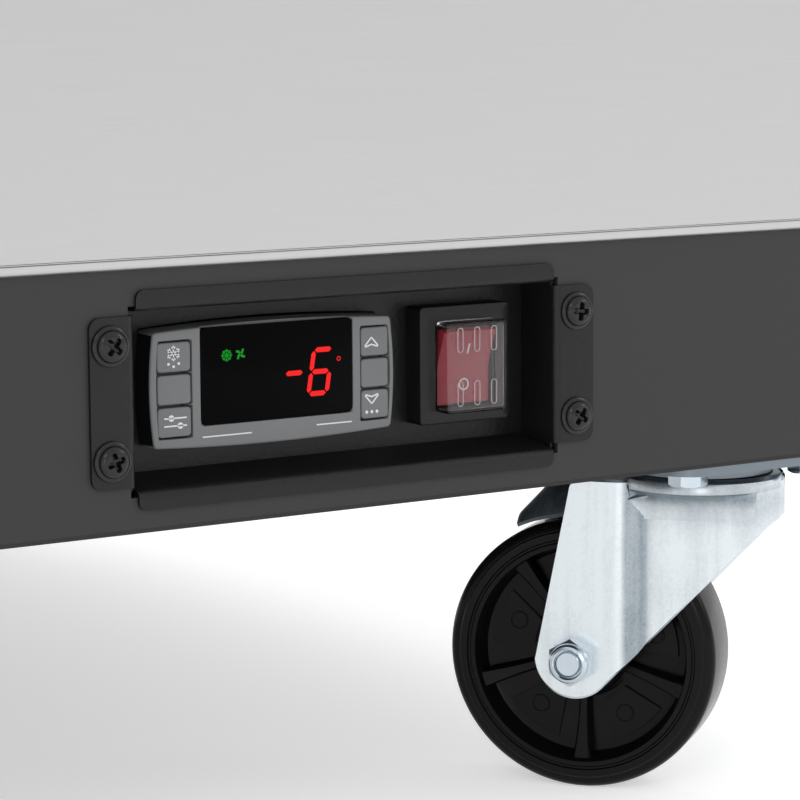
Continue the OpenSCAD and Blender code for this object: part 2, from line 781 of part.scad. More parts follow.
module hinge_arms() color("#9b9ea1")
    at_hinges() difference() {
        union() {
            box(-hinge_half, hinge_half, half_d, half_d + 3, lid_z + 12, lid_z + 44);
            along_x(-lug_half + 0.7, lug_half - 0.7) {
                polygon([[half_d + 2.9, lid_z + 36], [half_d + 2.9, lid_z + 12],
                         [hinge_y - hinge_r, hinge_z], [hinge_y + hinge_r, hinge_z],
                         [hinge_y + hinge_r, hinge_z + 8]]);
                translate([hinge_y, hinge_z]) circle(hinge_r);
            }
        }
        translate([0, hinge_y, hinge_z]) rod_x(hinge_pin_r + run_gap, -hinge_half, hinge_half);
    }

module hinge_pins() color("#b4b7ba")
    at_hinges() translate([0, hinge_y, hinge_z]) {
        rod_x(hinge_pin_r, -lug_half - 9, lug_half + 9);
        for (s = [-1, 1]) rod_x(6.5, s * (lug_half + 10.5) - 1.5, s * (lug_half + 10.5) + 1.5);
    }

// ---------- lid ----------

module lid_skin() color("#c8cacc")
    difference() {
        plan_slab(0, lid_z, cabinet_h);
        plan_slab(sheet_t, lid_in_z, cabinet_h - sheet_t);
        plan_slab(flange_w, lid_z - 1, lid_in_z + 1);
    }

module lid_liner() color("#eceff1")
    difference() {
        union() {
            plan_slab(6, lid_z - liner_t, lid_z);
            slab(-rim_in_x + 12, rim_in_x - 12, -rim_in_y + 12, rim_in_y - 12,
                 lid_z - liner_t - liner_plug, lid_z, 20);
        }
        slab(-rim_in_x + 13.5, rim_in_x - 13.5, -rim_in_y + 13.5, rim_in_y - 13.5,
             lid_z - liner_plug, lid_z + 1, 18.5);
    }

module lid_foam() color("#e6d49a") {
    plan_slab(sheet_t, lid_in_z, cabinet_h - sheet_t);
    plan_slab(flange_w, lid_z, lid_in_z + eps);
    slab(-rim_in_x + 13.5, rim_in_x - 13.5, -rim_in_y + 13.5, rim_in_y - 13.5,
         lid_z - liner_plug, lid_z + eps, 18.5);
}

module lid_gasket() color("#8f9295")
    difference() {
        plan_slab(gasket_out, rim_top + 0.2, lid_z - liner_t);
        slab(-half_w + gasket_out + gasket_w, half_w - gasket_out - gasket_w,
             -half_d + gasket_out + gasket_w, half_d - gasket_out - gasket_w,
             rim_top - 1, lid_z, 10);
    }

// grip bar with a finger pocket, and the lock's housing at its right end
module lid_handle() color("#2b2d2f")
    difference() {
        along_x(-handle_half, handle_half)
            round_rect(-half_d - reach, -half_d, handle_z[0], handle_z[1], 6);
        along_x(-handle_half + 5, lock_x - 18)
            round_rect(-half_d - reach + 5, -half_d - 3, handle_z[0] - 20, handle_z[1] - 6, 5);
        box(lock_x - 10.5, lock_x + hook_r + 9, -half_d - reach + 12, -half_d + 1,
            handle_z[0] - 1, lock_z + 11);
        translate([lock_x, 0, lock_z])
            rod_y(lock_r + run_gap, -half_d - reach - 1, -half_d - reach + 13);
    }

// key cylinder with a hook cam; the cam lies along +X when unlocked
module lock_cylinder() color("#b9bcbf")
    translate([lock_x, 0, lock_z]) {
        front = -half_d - reach;
        cam_y = front + 14;
        difference() {
            rod_y(lock_r, front + 0.2, cam_y);
            box(-0.8, 0.8, front - 1, front + 5, -3.2, 3.2);
        }
        along_y(cam_y, cam_y + cam_t) difference() {
            union() {
                circle(9);
                intersection() {
                    translate([0, -6]) square([hook_r + 7, 14]);
                    circle(hook_r + 7);
                }
            }
            difference() {
                circle(hook_r + stud_r + part_gap);
                circle(hook_r - stud_r - part_gap);
                translate([-200, 0]) square(400);
            }
            translate([hook_r, 0]) circle(stud_r + part_gap);
        }
    }

module lock_catch() color("#b9bcbf") {
    box(lock_x - 14, lock_x + 14, -half_d - 2, -half_d, rim_z - 32, rim_top);
    translate([lock_x, 0, stud_z]) rod_y(stud_r, -half_d - 10, -half_d - 1);
}

// ---------- baskets and drain plug ----------

// mat of crossing wires: a sheet of thickness t with square openings
module wire_mat(w, h, cols, rows) {
    pitch_x = (w - basket_wire) / cols;
    pitch_y = (h - basket_wire) / rows;
    difference() {
        square([w, h]);
        for (i = [0:cols - 1], j = [0:rows - 1])
            translate([basket_wire + i * pitch_x, basket_wire + j * pitch_y])
                square([pitch_x - basket_wire, pitch_y - basket_wire]);
    }
}

module basket(x0) color("#dfe3e6") {
    t = basket_wire;
    w = basket_w;
    d = basket_d * 2;
    z0 = basket_z - basket_h;
    translate([x0, -basket_d, z0]) {
        linear_extrude(t) wire_mat(w, d, 6, 9);
        for (y = [0, d - t]) translate([0, y + t, 0]) rotate([90, 0, 0])
            linear_extrude(t) wire_mat(w, basket_h, 6, 4);
        for (x = [0, w - t]) translate([x, 0, 0]) rotate([90, 0, 90])
            linear_extrude(t) wire_mat(d, basket_h, 9, 4);
        // top frame, resting on the rim's rebate at the front and back
        for (y = [-rebate_w - 2, d - t]) translate([0, y, basket_h])
            cube([w, rebate_w + 2 + t, t]);
        for (x = [0, w - basket_rim]) translate([x, 0, basket_h]) cube([basket_rim, d, t]);
    }
}

module drain_plug() color("#3a3d40")
    translate([drain_x, drain_y, tub_floor]) {
        translate([0, 0, -12]) cylinder(h = 13, r = drain_r - run_gap);
        cylinder(h = 3, r = drain_r + 5);
        cylinder(h = 16, r = 5);
    }

// ---------- casters ----------

module at_casters() {
    for (x = [-caster_x, caster_x], y = [front_caster_y, rear_caster_y])
        translate([x, y, 0]) children();
}

module at_plate_bolts() {
    for (x = [-1, 1], y = [-1, 1]) translate([x, y, 0] * bolt_pitch / 2) children();
}

module plate_holes(z0, z1) {
    at_plate_bolts() translate([0, 0, z0]) cylinder(h = z1 - z0, r = bolt_r + run_gap);
}

module caster_plates() color("#a7abb0")
    at_casters() {
        difference() {
            union() {
                slab(-plate_w / 2, plate_w / 2, -plate_w / 2, plate_w / 2, plate_z, caster_h, 10);
                translate([0, 0, race_z]) cylinder(h = plate_z - race_z + eps, r = 22);
            }
            plate_holes(plate_z - 1, caster_h + 1);
        }
        translate([0, 0, web_z + 3 - 0.3]) cylinder(h = race_z - web_z - 2, r = kingpin_r);
        translate([0, 0, web_z - 0.3]) cylinder(h = 3, r = 8);
    }

module caster_bolts() color("#c3c7ca")
    at_casters() at_plate_bolts() {
        translate([0, 0, plate_z - 4]) hex(10, 4);
        translate([0, 0, plate_z - 1]) cylinder(h = kick_z - plate_z + 9, r = bolt_r);
        translate([0, 0, kick_z]) hex(10, 5);
    }

// shape of one fork side seen along the axle
module fork_side() {
    az = wheel_r;
    tail = -atan2(tail_drop, tail_run);     // the sloping rear edge
    difference() {
        union() {
            translate([caster_trail, az]) circle(strap_r);
            polygon([[-20, web_z + 2], [-18, web_z - 6],
                     [caster_trail + strap_r * sin(tail), az - strap_r * cos(tail)],
                     [caster_trail + strap_r, az], [caster_trail + 2, web_z + 2]]);
        }
        translate([caster_trail, az]) circle(axle_r + run_gap);
    }
}

// the fork's section seen from above: beside the wheel, stepping out to the axle
module fork_section() {
    polygon([[-22, gusset_v], [13, gusset_v], [20, strap_v], [caster_trail + strap_r, strap_v],
             [caster_trail + strap_r, strap_v + fork_t], [19, strap_v + fork_t],
             [12, gusset_v + fork_t], [-22, gusset_v + fork_t]]);
}

// fork with its kingpin on the origin's axis, trailing along +X
module fork_shape() {
    web = gusset_v + fork_t;
    for (s = [0, 1]) mirror([0, s, 0]) intersection() {
        translate([0, 0, 20]) linear_extrude(web_z + 2 - 20) fork_section();
        along_y(0, 40) fork_side();
    }
    difference() {
        union() {
            // drawn crown that holds the swivel race
            translate([0, 0, web_z]) rotate_extrude($fn = 96) {
                square([crown_r, crown_z - web_z - 4]);
                square([crown_r - 4, crown_z - web_z]);
                translate([crown_r - 4, crown_z - web_z - 4]) circle(4, $fn = 48);
            }
            // hood over the wheel, ending in an arched lip
            intersection() {
                box(-20, caster_trail + 9, -web, web, web_z, web_z + fork_t);
                union() {
                    translate([0, 0, web_z - 1]) cylinder(h = 9, r = crown_r);
                    box(0, 60, -web, web, web_z - 1, web_z + 9);
                }
            }
            intersection() {
                along_y(-web, web)
                    polygon([[caster_trail + 7, web_z + fork_t], [caster_trail + 9, web_z + fork_t],
                             [caster_trail + 19, web_z - 7], [caster_trail + 17, web_z - 8.5],
                             [caster_trail + 7.5, web_z]]);
                translate([caster_trail - 8, 0, web_z - 20]) cylinder(h = 40, r = 27);
            }
        }
        translate([0, 0, web_z - 5]) cylinder(h = 8, r = crown_r - 5);
        cylinder(h = 200, r = kingpin_r + run_gap);
    }
}

// wheel with its axle along Y through the origin
module wheel_shape() {
    difference() {
        union() {
            rotate([90, 0, 0]) rotate_extrude($fn = 120) {
                translate([axle_r + run_gap, -strap_v + part_gap]) square([6, 2 * (strap_v - part_gap)]);
                translate([axle_r + run_gap, -3]) square([wheel_r - 10, 6]);
                translate([wheel_r - 8.3, -wheel_half]) square([5.3, wheel_w]);
                translate([wheel_r - 5, -wheel_half + 3]) square([5, wheel_w - 6]);
                for (s = [-1, 1])
                    translate([wheel_r - 3, s * (wheel_half - 3)]) circle(3, $fn = 32);
            }
            for (a = [0:72:288]) rotate([0, a, 0])
                box(9, wheel_r - 8, -wheel_half + 3, wheel_half - 3, -2, 2);
        }
    }
}

module axle_shape() {
    out = strap_v + fork_t;
    rod_y(axle_r, -out - 1, out + 7);
    translate([0, -out, 0]) rotate([90, 0, 0]) hex(13, 5.3);
    translate([0, out + 6, 0]) rotate([90, 0, 0]) hex(13, 6);
    rod_y(5.6, out + 5, out + 7);
}

// one caster's place: left or right, front or rear
module at_caster(side, end) {
    translate([side * caster_x, end < 0 ? front_caster_y : rear_caster_y, 0])
        rotate([0, 0, swivel_deg]) children();
}

module at_axle(side, end) {
    at_caster(side, end) translate([caster_trail, 0, wheel_r]) children();
}

module fork(side, end) color("#b8c0c6") at_caster(side, end) fork_shape();
module wheel(side, end) color("#151516") at_axle(side, end) wheel_shape();
module axle(side, end) color("#c9ced2") at_axle(side, end) axle_shape();

// ---------- output ----------

front_panel();
side_panel(-1);  // side_panel_left
side_panel(1);  // side_panel_right
back_panel();
inner_tub();
foam_body();
rim_frame();
bottom_liner();
base_tray();
kick_panel();
control_box();
control_box_screws();
controller_housing();
controller_bezel();
display_window();
key_cap(key_left, true);  // key_defrost
key_cap(key_left, false);  // key_set
key_cap(key_right, true);  // key_up
key_cap(key_right, false);  // key_down
switch_housing();
switch_rocker();
switch_cover();
compressor();
compressor_feet();
condenser_coil();
fan_shroud();
fan_motor();
fan_blade();
filter_drier();
refrigerant_tubes();
evaporator_coil();
side_grille();
cord_gland();
hinge_bodies();
hinge_arms();
hinge_pins();
lid_skin();
lid_liner();
lid_foam();
lid_gasket();
lid_handle();
lock_cylinder();
lock_catch();
basket(-rim_in_x - rebate_w + basket_from_end);  // basket_left
basket(rim_in_x + rebate_w - basket_from_end - basket_w);  // basket_right
drain_plug();
caster_plates();
caster_bolts();
fork(-1, -1);  // fork_front_left
fork(1, -1);  // fork_front_right
fork(-1, 1);  // fork_rear_left
fork(1, 1);  // fork_rear_right
wheel(-1, -1);  // wheel_front_left
wheel(1, -1);  // wheel_front_right
wheel(-1, 1);  // wheel_rear_left
wheel(1, 1);  // wheel_rear_right
axle(-1, -1);  // axle_front_left
axle(1, -1);  // axle_front_right
axle(-1, 1);  // axle_rear_left
axle(1, 1);  // axle_rear_right
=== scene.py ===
"""Looks of the chest freezer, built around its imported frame."""

import json
import math

import bmesh
import bpy
import numpy as np
from mathutils import Matrix, Vector


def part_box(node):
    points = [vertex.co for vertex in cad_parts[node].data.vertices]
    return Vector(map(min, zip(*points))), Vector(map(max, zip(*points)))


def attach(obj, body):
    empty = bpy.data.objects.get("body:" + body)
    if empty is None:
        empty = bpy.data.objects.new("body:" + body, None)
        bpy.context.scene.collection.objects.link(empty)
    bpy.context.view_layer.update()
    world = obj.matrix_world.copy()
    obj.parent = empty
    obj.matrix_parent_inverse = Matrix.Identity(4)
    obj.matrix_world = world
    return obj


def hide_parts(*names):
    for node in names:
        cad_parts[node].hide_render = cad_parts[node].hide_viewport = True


bl_info = {
    "name": "Chest Freezer Finish",
    "version": (1, 0, 0),
    "blender": (4, 5, 0),
    "location": "View3D > Sidebar > Freezer",
    "description": "Builds the finished surfaces and pieces of a chest freezer on casters",
    "category": "Object",
}

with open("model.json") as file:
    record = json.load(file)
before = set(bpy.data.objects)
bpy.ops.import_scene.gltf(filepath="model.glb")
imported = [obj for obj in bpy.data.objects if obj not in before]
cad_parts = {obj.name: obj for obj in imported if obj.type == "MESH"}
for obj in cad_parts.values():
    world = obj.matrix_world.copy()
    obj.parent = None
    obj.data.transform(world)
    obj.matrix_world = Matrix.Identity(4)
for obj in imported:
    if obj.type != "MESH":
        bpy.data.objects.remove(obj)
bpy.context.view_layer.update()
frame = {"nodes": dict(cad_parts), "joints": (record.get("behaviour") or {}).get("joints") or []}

MM = 0.001
TAU = 2 * math.pi
SIDES = ("left", "right")
ENDS = ("front", "rear")


# ---------- places, from the frame ----------

def corners(node):
    """Lowest and highest corner of a node, in millimetres."""
    lo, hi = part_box(node)
    return np.array(lo) * 1000, np.array(hi) * 1000


KICK_LO, KICK_HI = corners("kick_panel")
BEZEL_LO, BEZEL_HI = corners("controller_bezel")
SKIN_LO, SKIN_HI = corners("front_panel")
LID_LO, LID_HI = corners("lid_skin")
JOINTS = {j["name"]: j for j in frame["joints"]}
# middle of the controller on the kick panel's front face
CONTROL = np.array([(BEZEL_LO[0] + BEZEL_HI[0]) / 2, KICK_LO[1], (BEZEL_LO[2] + BEZEL_HI[2]) / 2])
FLOOR_Y = BEZEL_HI[1] - KICK_LO[1]      # recess floor behind the kick panel's face
BEZEL_Y = BEZEL_LO[1] - KICK_LO[1]      # bezel front behind the kick panel's face


def joint_place(name):
    """Place and axis of a hinge, in millimetres."""
    joint = JOINTS[name]
    return np.array(joint["pos_m"]) * 1000, np.array(joint["axis"], float)


# ---------- settings ----------

class FreezerSizes(bpy.types.PropertyGroup):
    """Sizes that a user would change."""
    edge: bpy.props.FloatProperty(
        name="Edge radius", description="Rolled edge of the stainless skin, mm", default=1.5)
    grain: bpy.props.FloatProperty(
        name="Brush grain", description="Brush lines per metre across the grain", default=2600)
    camera_away: bpy.props.FloatVectorProperty(
        name="Camera place", description="Camera from the controller, mm",
        default=(-399.7, -663.1, 99.2))
    camera_turn: bpy.props.FloatVectorProperty(
        name="Camera turn", description="Heading right of +Y, pitch down and roll, degrees",
        default=(33.19, 7.62, -0.363))
    lens: bpy.props.FloatProperty(
        name="Lens", description="Focal length on a 36 mm sensor", default=135.78)


class FreezerColours(bpy.types.PropertyGroup):
    """Colours that a user would change."""
    steel: bpy.props.FloatVectorProperty(
        name="Stainless", description="Brushed skin", subtype="COLOR", default=(0.51, 0.51, 0.51))
    panel: bpy.props.FloatVectorProperty(
        name="Kick panel", description="Satin black paint", subtype="COLOR",
        default=(0.029, 0.029, 0.030))
    bezel: bpy.props.FloatVectorProperty(
        name="Bezel", description="Grey plastic", subtype="COLOR", default=(0.15, 0.154, 0.158))
    digits: bpy.props.FloatVectorProperty(
        name="Digits", description="Lit display segments", subtype="COLOR",
        default=(0.9, 0.02, 0.02))


# ---------- surfaces ----------

class Surface:
    """Collects grids of points and makes one mesh of them."""

    def __init__(self):
        self.points, self.faces, self.tones, self.count = [], [], [], 0

    def grid(self, p, wrap_u=False, wrap_v=False, cap=False, tone=1.0):
        """Quads between neighbours of a grid p[u, v]. cap closes the first and last loop of v, or
        only the last one."""
        p = np.asarray(p, float)
        nu, nv = p.shape[:2]
        # Each grid's points carry a level of painted light: 1 where no shade is painted, lower where shade
        # is painted; only the forks set it.
        self.tones.append(np.broadcast_to(tone, (nu, nv)).ravel())
        index = np.arange(nu * nv).reshape(nu, nv) + self.count
        if wrap_u:
            index = np.vstack([index, index[:1]])
        if wrap_v:
            index = np.hstack([index, index[:, :1]])
        quads = np.stack([index[:-1, :-1], index[1:, :-1], index[1:, 1:], index[:-1, 1:]], -1)
        self.faces += quads.reshape(-1, 4).tolist()
        if cap:
            self.faces.append(index[-1, :nv][::-1].tolist())
        if cap is True:
            self.faces.append(index[0, :nv].tolist())
        self.points.append(p.reshape(-1, 3))
        self.count += nu * nv
        return self

    def piece(self, name, body, material, place=None, sharp=40, merge=0.0):
        """Makes the object. Points are in millimetres, moved by the 4x4 matrix place."""
        points = np.vstack(self.points)
        if place is not None:
            points = points @ place[:3, :3].T + place[:3, 3]
        mesh = bpy.data.meshes.new(name)
        mesh.from_pydata((points * MM).tolist(), [], self.faces)
        # Painted shade per point, kept as a point attribute for the forks' zinc material.
        shading = mesh.attributes.new("tone", "FLOAT", "POINT")
        shading.data.foreach_set("value", np.concatenate(self.tones).astype(np.float32))
        mesh.validate()
        work = bmesh.new()
        work.from_mesh(mesh)
        if merge:
            bmesh.ops.remove_doubles(work, verts=work.verts, dist=merge * MM)
        bmesh.ops.dissolve_degenerate(work, edges=work.edges, dist=1e-7)
        bmesh.ops.recalc_face_normals(work, faces=work.faces)
        work.to_mesh(mesh)
        work.free()
        mesh.shade_smooth()
        mesh.set_sharp_from_angle(angle=math.radians(sharp))
        thing = bpy.data.objects.new(name, mesh)
        bpy.context.scene.collection.objects.link(thing)
        if material is not None:
            mesh.materials.append(material)
        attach(thing, body)
        return thing


def rect_loop(a, b, r, n=6):
    """Round rectangle of half sizes a and b: four quarter circles of radius r, one a corner."""
    a, b, r = (np.asarray(v, float)[..., None] for v in (a, b, r))
    r = np.minimum(np.minimum(np.maximum(r, 1e-4), a), b)
    corner = np.repeat(np.arange(4), n)
    t = np.tile(np.linspace(0, math.pi / 2, n), 4) + corner * math.pi / 2
    sx, sy = np.array([[1, -1, -1, 1], [1, 1, -1, -1]])[:, corner]
    return np.stack([sx * (a - r) + r * np.cos(t), sy * (b - r) + r * np.sin(t)], -1)


def lifted(loops, z):
    """2D loops, each set at its own height z: grids of (x, y, z)."""
    z = np.broadcast_to(np.asarray(z, float)[..., None, None], (*loops.shape[:-1], 1))
    return np.concatenate([loops, z], -1)


def rolled(radius, z, way, n=6):
    """Rolled rim, a quarter circle: insets radius (1 - sin t), heights z + way radius (1 - cos t)."""
    t = np.linspace(0, math.pi / 2, n if radius > 0 else 1)
    return np.stack([radius * (1 - np.sin(t)), z + way * radius * (1 - np.cos(t))], -1)


def slab(a, b, r, z0, z1, round0=0.0, round1=0.0, n=5, corner=6):
    """Round rectangle drawn from z0 to z1, its two rims rolled by quarter circles."""
    inset, z = np.vstack([rolled(round0, z0, 1, n), rolled(round1, z1, -1, n)[::-1]]).T
    return lifted(rect_loop(a - inset, b - inset, r - inset, corner), z)


def disc(profile, n=64):
    """Profile of (radius, height) points turned about the z axis."""
    t = np.linspace(0, TAU, n, endpoint=False)
    r, z = np.asarray(profile, float).T
    return np.stack([r[:, None] * np.cos(t), r[:, None] * np.sin(t),
                     np.repeat(z[:, None], n, 1)], -1)


def fillet(points, radius, n=5):
    """Polyline whose inner corners become arcs: each arc's points are its first and last spoke,
    mixed by sin((1 - t) angle) and sin(t angle) over sin(angle)."""
    points = [np.asarray(p, float) for p in points]
    out = [points[0]]
    for before, here, after in zip(points, points[1:], points[2:]):
        a = (before - here) / np.linalg.norm(before - here)
        b = (after - here) / np.linalg.norm(after - here)
        half = math.acos(np.clip(a @ b, -1, 1)) / 2
        if half > math.pi / 2 - 0.01:
            out.append(here)
            continue
        reach = min(radius / math.tan(half), np.linalg.norm(before - here) * 0.49,
                    np.linalg.norm(after - here) * 0.49)
        r = reach * math.tan(half)
        centre = here + (a + b) / np.linalg.norm(a + b) * r / math.sin(half)
        start, end = here + a * reach - centre, here + b * reach - centre
        angle = math.acos(np.clip(start @ end / r ** 2, -1, 1))
        t = np.linspace(0, 1, n)[:, None]
        mixed = np.sin((1 - t) * angle) * start + np.sin(t * angle) * end
        out.extend(centre + mixed / max(math.sin(angle), 1e-9))
    out.append(points[-1])
    return np.array(out)


def thicken(path, t):
    """Closed outline around an open 2D path: the path moved t / 2 to both sides."""
    step = np.gradient(path, axis=0)
    side = np.stack([-step[:, 1], step[:, 0]], -1)
    side /= np.linalg.norm(side, axis=1)[:, None]
    return np.vstack([path + side * t / 2, (path - side * t / 2)[::-1]])


def tube(path, r, n=12, closed=False):
    """Circle of radius r carried along a 3D path, kept upright by parallel transport."""
    path = np.asarray(path, float)
    if closed:
        step = np.roll(path, -1, 0) - np.roll(path, 1, 0)
    else:
        step = np.gradient(path, axis=0)
    step /= np.linalg.norm(step, axis=1)[:, None]
    up = np.cross(step[0], [0.31, 0.52, 0.79])
    up /= np.linalg.norm(up)
    t = np.linspace(0, TAU, n, endpoint=False)
    loops = []
    for p, d in zip(path, step):
        up = up - (up @ d) * d
        up /= np.linalg.norm(up)
        side = np.cross(d, up)
        loops.append(p + r * (np.cos(t)[:, None] * up + np.sin(t)[:, None] * side))
    return np.array(loops)


def stroke(points, width, closed=False):
    """Flat ribbon of the given width along a 2D polyline: two rows of points."""
    p = np.asarray(points, float)
    if closed:
        p = np.vstack([p, p[:1]])
        step = np.roll(p[:-1], -1, 0) - np.roll(p[:-1], 1, 0)
        step = np.vstack([step, step[:1]])
    else:
        step = np.gradient(p, axis=0)
    side = np.stack([-step[:, 1], step[:, 0]], -1)
    side /= np.maximum(np.linalg.norm(side, axis=1), 1e-9)[:, None]
    return np.stack([p + side * width / 2, p - side * width / 2], 1)


def swap(p, order, signs=(1, 1, 1)):
    """Grid with its axes exchanged, such as (0, 2, 1) to stand a plan drawing up."""
    p = np.asarray(p, float)
    return np.stack([p[..., order[k]] * signs[k] for k in range(3)], -1)


def shift(x=0.0, y=0.0, z=0.0, turn=None):
    """4x4 matrix: a 3x3 turn, then a shift."""
    m = np.eye(4)
    if turn is not None:
        m[:3, :3] = turn
    m[:3, 3] = (x, y, z)
    return m


def spun(p, angle):
    """Points turned about the y axis: x' = x cos - z sin, z' = x sin + z cos."""
    c, s = math.cos(angle), math.sin(angle)
    return np.stack([p[..., 0] * c - p[..., 2] * s, p[..., 1], p[..., 0] * s + p[..., 2] * c], -1)


CONTROL_PLACE = shift(*CONTROL)


# ---------- shader maths ----------

class Value:
    """Wraps a number socket, so that expressions on it add Math nodes."""

    def __init__(self, paint, socket):
        self.paint, self.socket = paint, socket

    def maths(self, operation, *others, **settings):
        """Adds a Math node on this value and the others."""
        inputs = {i: v for i, v in enumerate((self, *others))}
        return self.paint.node("ShaderNodeMath", {"operation": operation, **settings}, inputs)

    def __add__(self, other):
        return self.maths("ADD", other)

    def __mul__(self, other):
        return self.maths("MULTIPLY", other)

    def __sub__(self, other):
        return self.maths("SUBTRACT", other)

    def __rsub__(self, other):
        return self * -1.0 + other

    __radd__ = __add__
    __rmul__ = __mul__

    def clamp(self):
        """Kept from 0 to 1."""
        return self.maths("MULTIPLY", 1.0, use_clamp=True)


class Paint:
    """One material: a Principled shader and the nodes that feed it."""

    def __init__(self, name, **sockets):
        self.material = bpy.data.materials.new(name)
        self.material.use_nodes = True
        self.tree = self.material.node_tree
        self.shader = self.tree.nodes["Principled BSDF"]
        self.set(**sockets)

    def set(self, **sockets):
        """Sets or links sockets of the shader: base_color=..., roughness=..."""
        for name, value in sockets.items():
            self.feed(self.shader.inputs[name.replace("_", " ").title().replace("Ior", "IOR")], value)
        return self

    def feed(self, socket, value):
        """Links a value to a socket, or sets the socket to it."""
        if isinstance(value, Value):
            value = value.socket
        if isinstance(value, bpy.types.NodeSocket):
            self.tree.links.new(value, socket)
        elif isinstance(value, (tuple, list)) or hasattr(value, "foreach_get"):
            value = tuple(value)
            room = len(socket.default_value)
            socket.default_value = value if len(value) == room else (*value, 1.0)[:room]
        else:
            socket.default_value = value

    def node(self, kind, settings=None, inputs=None, output=0):
        """Adds a node: its type, its settings, and values or links for its sockets."""
        made = self.tree.nodes.new(kind)
        for key, value in (settings or {}).items():
            setattr(made, key, value)
        for key, value in (inputs or {}).items():
            self.feed(made.inputs[key], value)
        return Value(self, made.outputs[output])

    def place(self, scale=(1, 1, 1)):
        """Object coordinates in metres, scaled."""
        where = self.node("ShaderNodeTexCoord", output="Object")
        return self.node("ShaderNodeMapping", {}, {"Vector": where, "Scale": scale})

    def noise(self, scale, detail=3.0, rough=0.55, stretch=(1, 1, 1)):
        """Cloudy noise, 0 to 1, with scale patches a metre, more along a stretched axis."""
        return self.node("ShaderNodeTexNoise", {"noise_dimensions": "3D"},
                         {"Vector": self.place(stretch), "Scale": scale,
                          "Detail": detail, "Roughness": rough}, output="Fac")

    def cells(self, scale):
        """Distance to the nearest of scattered points, scale of them a metre."""
        return self.node("ShaderNodeTexVoronoi", {"feature": "F1"},
                         {"Vector": self.place(), "Scale": scale}, output="Distance")

    def mix(self, amount, dark, light):
        """Colour between dark and light."""
        made = self.tree.nodes.new("ShaderNodeMix")
        made.data_type = "RGBA"
        for index, value in ((0, amount), (6, dark), (7, light)):
            self.feed(made.inputs[index], value)
        return made.outputs[2]

    def bump(self, height, strength, distance):
        """Bump node from a height to the shader's normal."""
        made = self.node("ShaderNodeBump", {}, {"Height": height, "Strength": strength,
                                                "Distance": distance}, output="Normal")
        self.feed(self.shader.inputs["Normal"], made)
        return self


def shade(colour, factor):
    """Colour times a factor, at most 1."""
    return tuple(min(1.0, c * factor) for c in colour[:3])


def brushed(name, colour, stretch):
    """Brushed stainless: long fine lines across stretch, with soft cloudy patches."""
    paint = Paint(name, metallic=1.0)
    lines = paint.noise(1.0, 4.0, 0.7, stretch)
    fine = paint.noise(1.0, 2.0, 0.6, tuple(s * 2.7 for s in stretch))
    cloud = paint.noise(3.0, 2.0)
    mixed = lines * 0.6 + fine * 0.4
    paint.set(base_color=paint.mix(mixed * 0.8 + cloud * 0.2, shade(colour, 0.86), shade(colour, 1.1)),
              roughness=mixed * 0.16 + cloud * 0.05 + 0.26)
    return paint.bump(mixed, 0.35, 0.00006).material


def painted(name, colour, roughness, grain=900.0, depth=0.00005, strength=0.3, coat=0.0, shine=0.5):
    """Powder coat: fine orange peel, its colour darker in the peel's hollows and lighter on its tops, with
    cloudy patches.
    """
    paint = Paint(name, coat_weight=coat, coat_roughness=0.2, specular_ior_level=shine)
    peel = paint.noise(grain, 3.0)
    cloud = paint.noise(6.0, 3.0)
    paint.set(base_color=paint.mix(cloud * 0.6 + peel * 0.4, shade(colour, 0.9), shade(colour, 1.12)),
              roughness=peel * 0.12 + cloud * 0.08 + (roughness - 0.1))
    return paint.bump(peel, strength, depth).material


def moulded(name, colour, roughness, grain=2500.0, strength=0.15, **more):
    """Moulded plastic: spark-eroded grain and slight changes of gloss."""
    paint = Paint(name, **more)
    grit = paint.noise(grain, 2.0)
    cloud = paint.noise(40.0, 3.0)
    paint.set(base_color=paint.mix(cloud, shade(colour, 0.92), shade(colour, 1.08)),
              roughness=grit * 0.1 + cloud * 0.1 + (roughness - 0.1))
    return paint.bump(grit, strength, 0.00003).material


def plated(name, colour, roughness=0.3):
    """Bright zinc plate: bluish, with cloudy passivation, drawn lines and speckle."""
    paint = Paint(name, metallic=1.0)
    cloud = paint.noise(38.0, 4.0, 0.6)
    speck = paint.noise(900.0, 2.0, 0.7)
    drawn = paint.noise(1.0, 3.0, 0.6, (900, 900, 60))
    mask = cloud * 0.55 + speck * 0.25 + drawn * 0.2
    tint = (colour[0] * 0.7, colour[1] * 0.79, colour[2] * 0.86)
    paint.set(base_color=paint.mix(mask, tint, shade(colour, 1.12)),
              roughness=cloud * 0.14 + speck * 0.12 + (roughness - 0.13))
    return paint.bump(speck * 0.5 + drawn * 0.5, 0.25, 0.00005).material


def drawn_zinc_painted_shade(name, colour, roughness=0.3):
    """Zinc on drawn sheet: darker and bluer where the point attribute of painted shade is low, mottled by
    cloudy noise, streaks and speckle.
    """
    paint = Paint(name, metallic=1.0)
    tone = paint.node("ShaderNodeAttribute", {"attribute_name": "tone"}, output="Fac")
    cloud = paint.noise(45.0, 5.0, 0.65)
    speck = paint.noise(1100.0, 2.0, 0.7)
    streak = paint.noise(1.0, 4.0, 0.6, (260, 260, 16))
    # Painted shade from the point attribute, mottled by noise; low values take the dark colour, which is the
    # painted shade.
    mask = (tone + (cloud - 0.5) * 0.5 + (streak - 0.5) * 0.45 + (speck - 0.5) * 0.3).clamp()
    paint.set(base_color=paint.mix(mask, (colour[0] * 0.16, colour[1] * 0.2, colour[2] * 0.235), colour),
              roughness=cloud * 0.14 + speck * 0.1 + (roughness - 0.12))
    return paint.bump(speck * 0.6 + cloud * 0.4, 0.3, 0.00008).material


def rubbery(name, colour, roughness=0.7):
    """Soft rubber or vinyl: matte with a fine dusty bloom."""
    paint = Paint(name)
    bloom = paint.noise(30.0, 4.0)
    grit = paint.noise(1800.0, 2.0)
    paint.set(base_color=paint.mix(bloom, colour, shade(colour, 1.35)),
              roughness=grit * 0.15 + (roughness - 0.07))
    return paint.bump(grit, 0.2, 0.00004).material


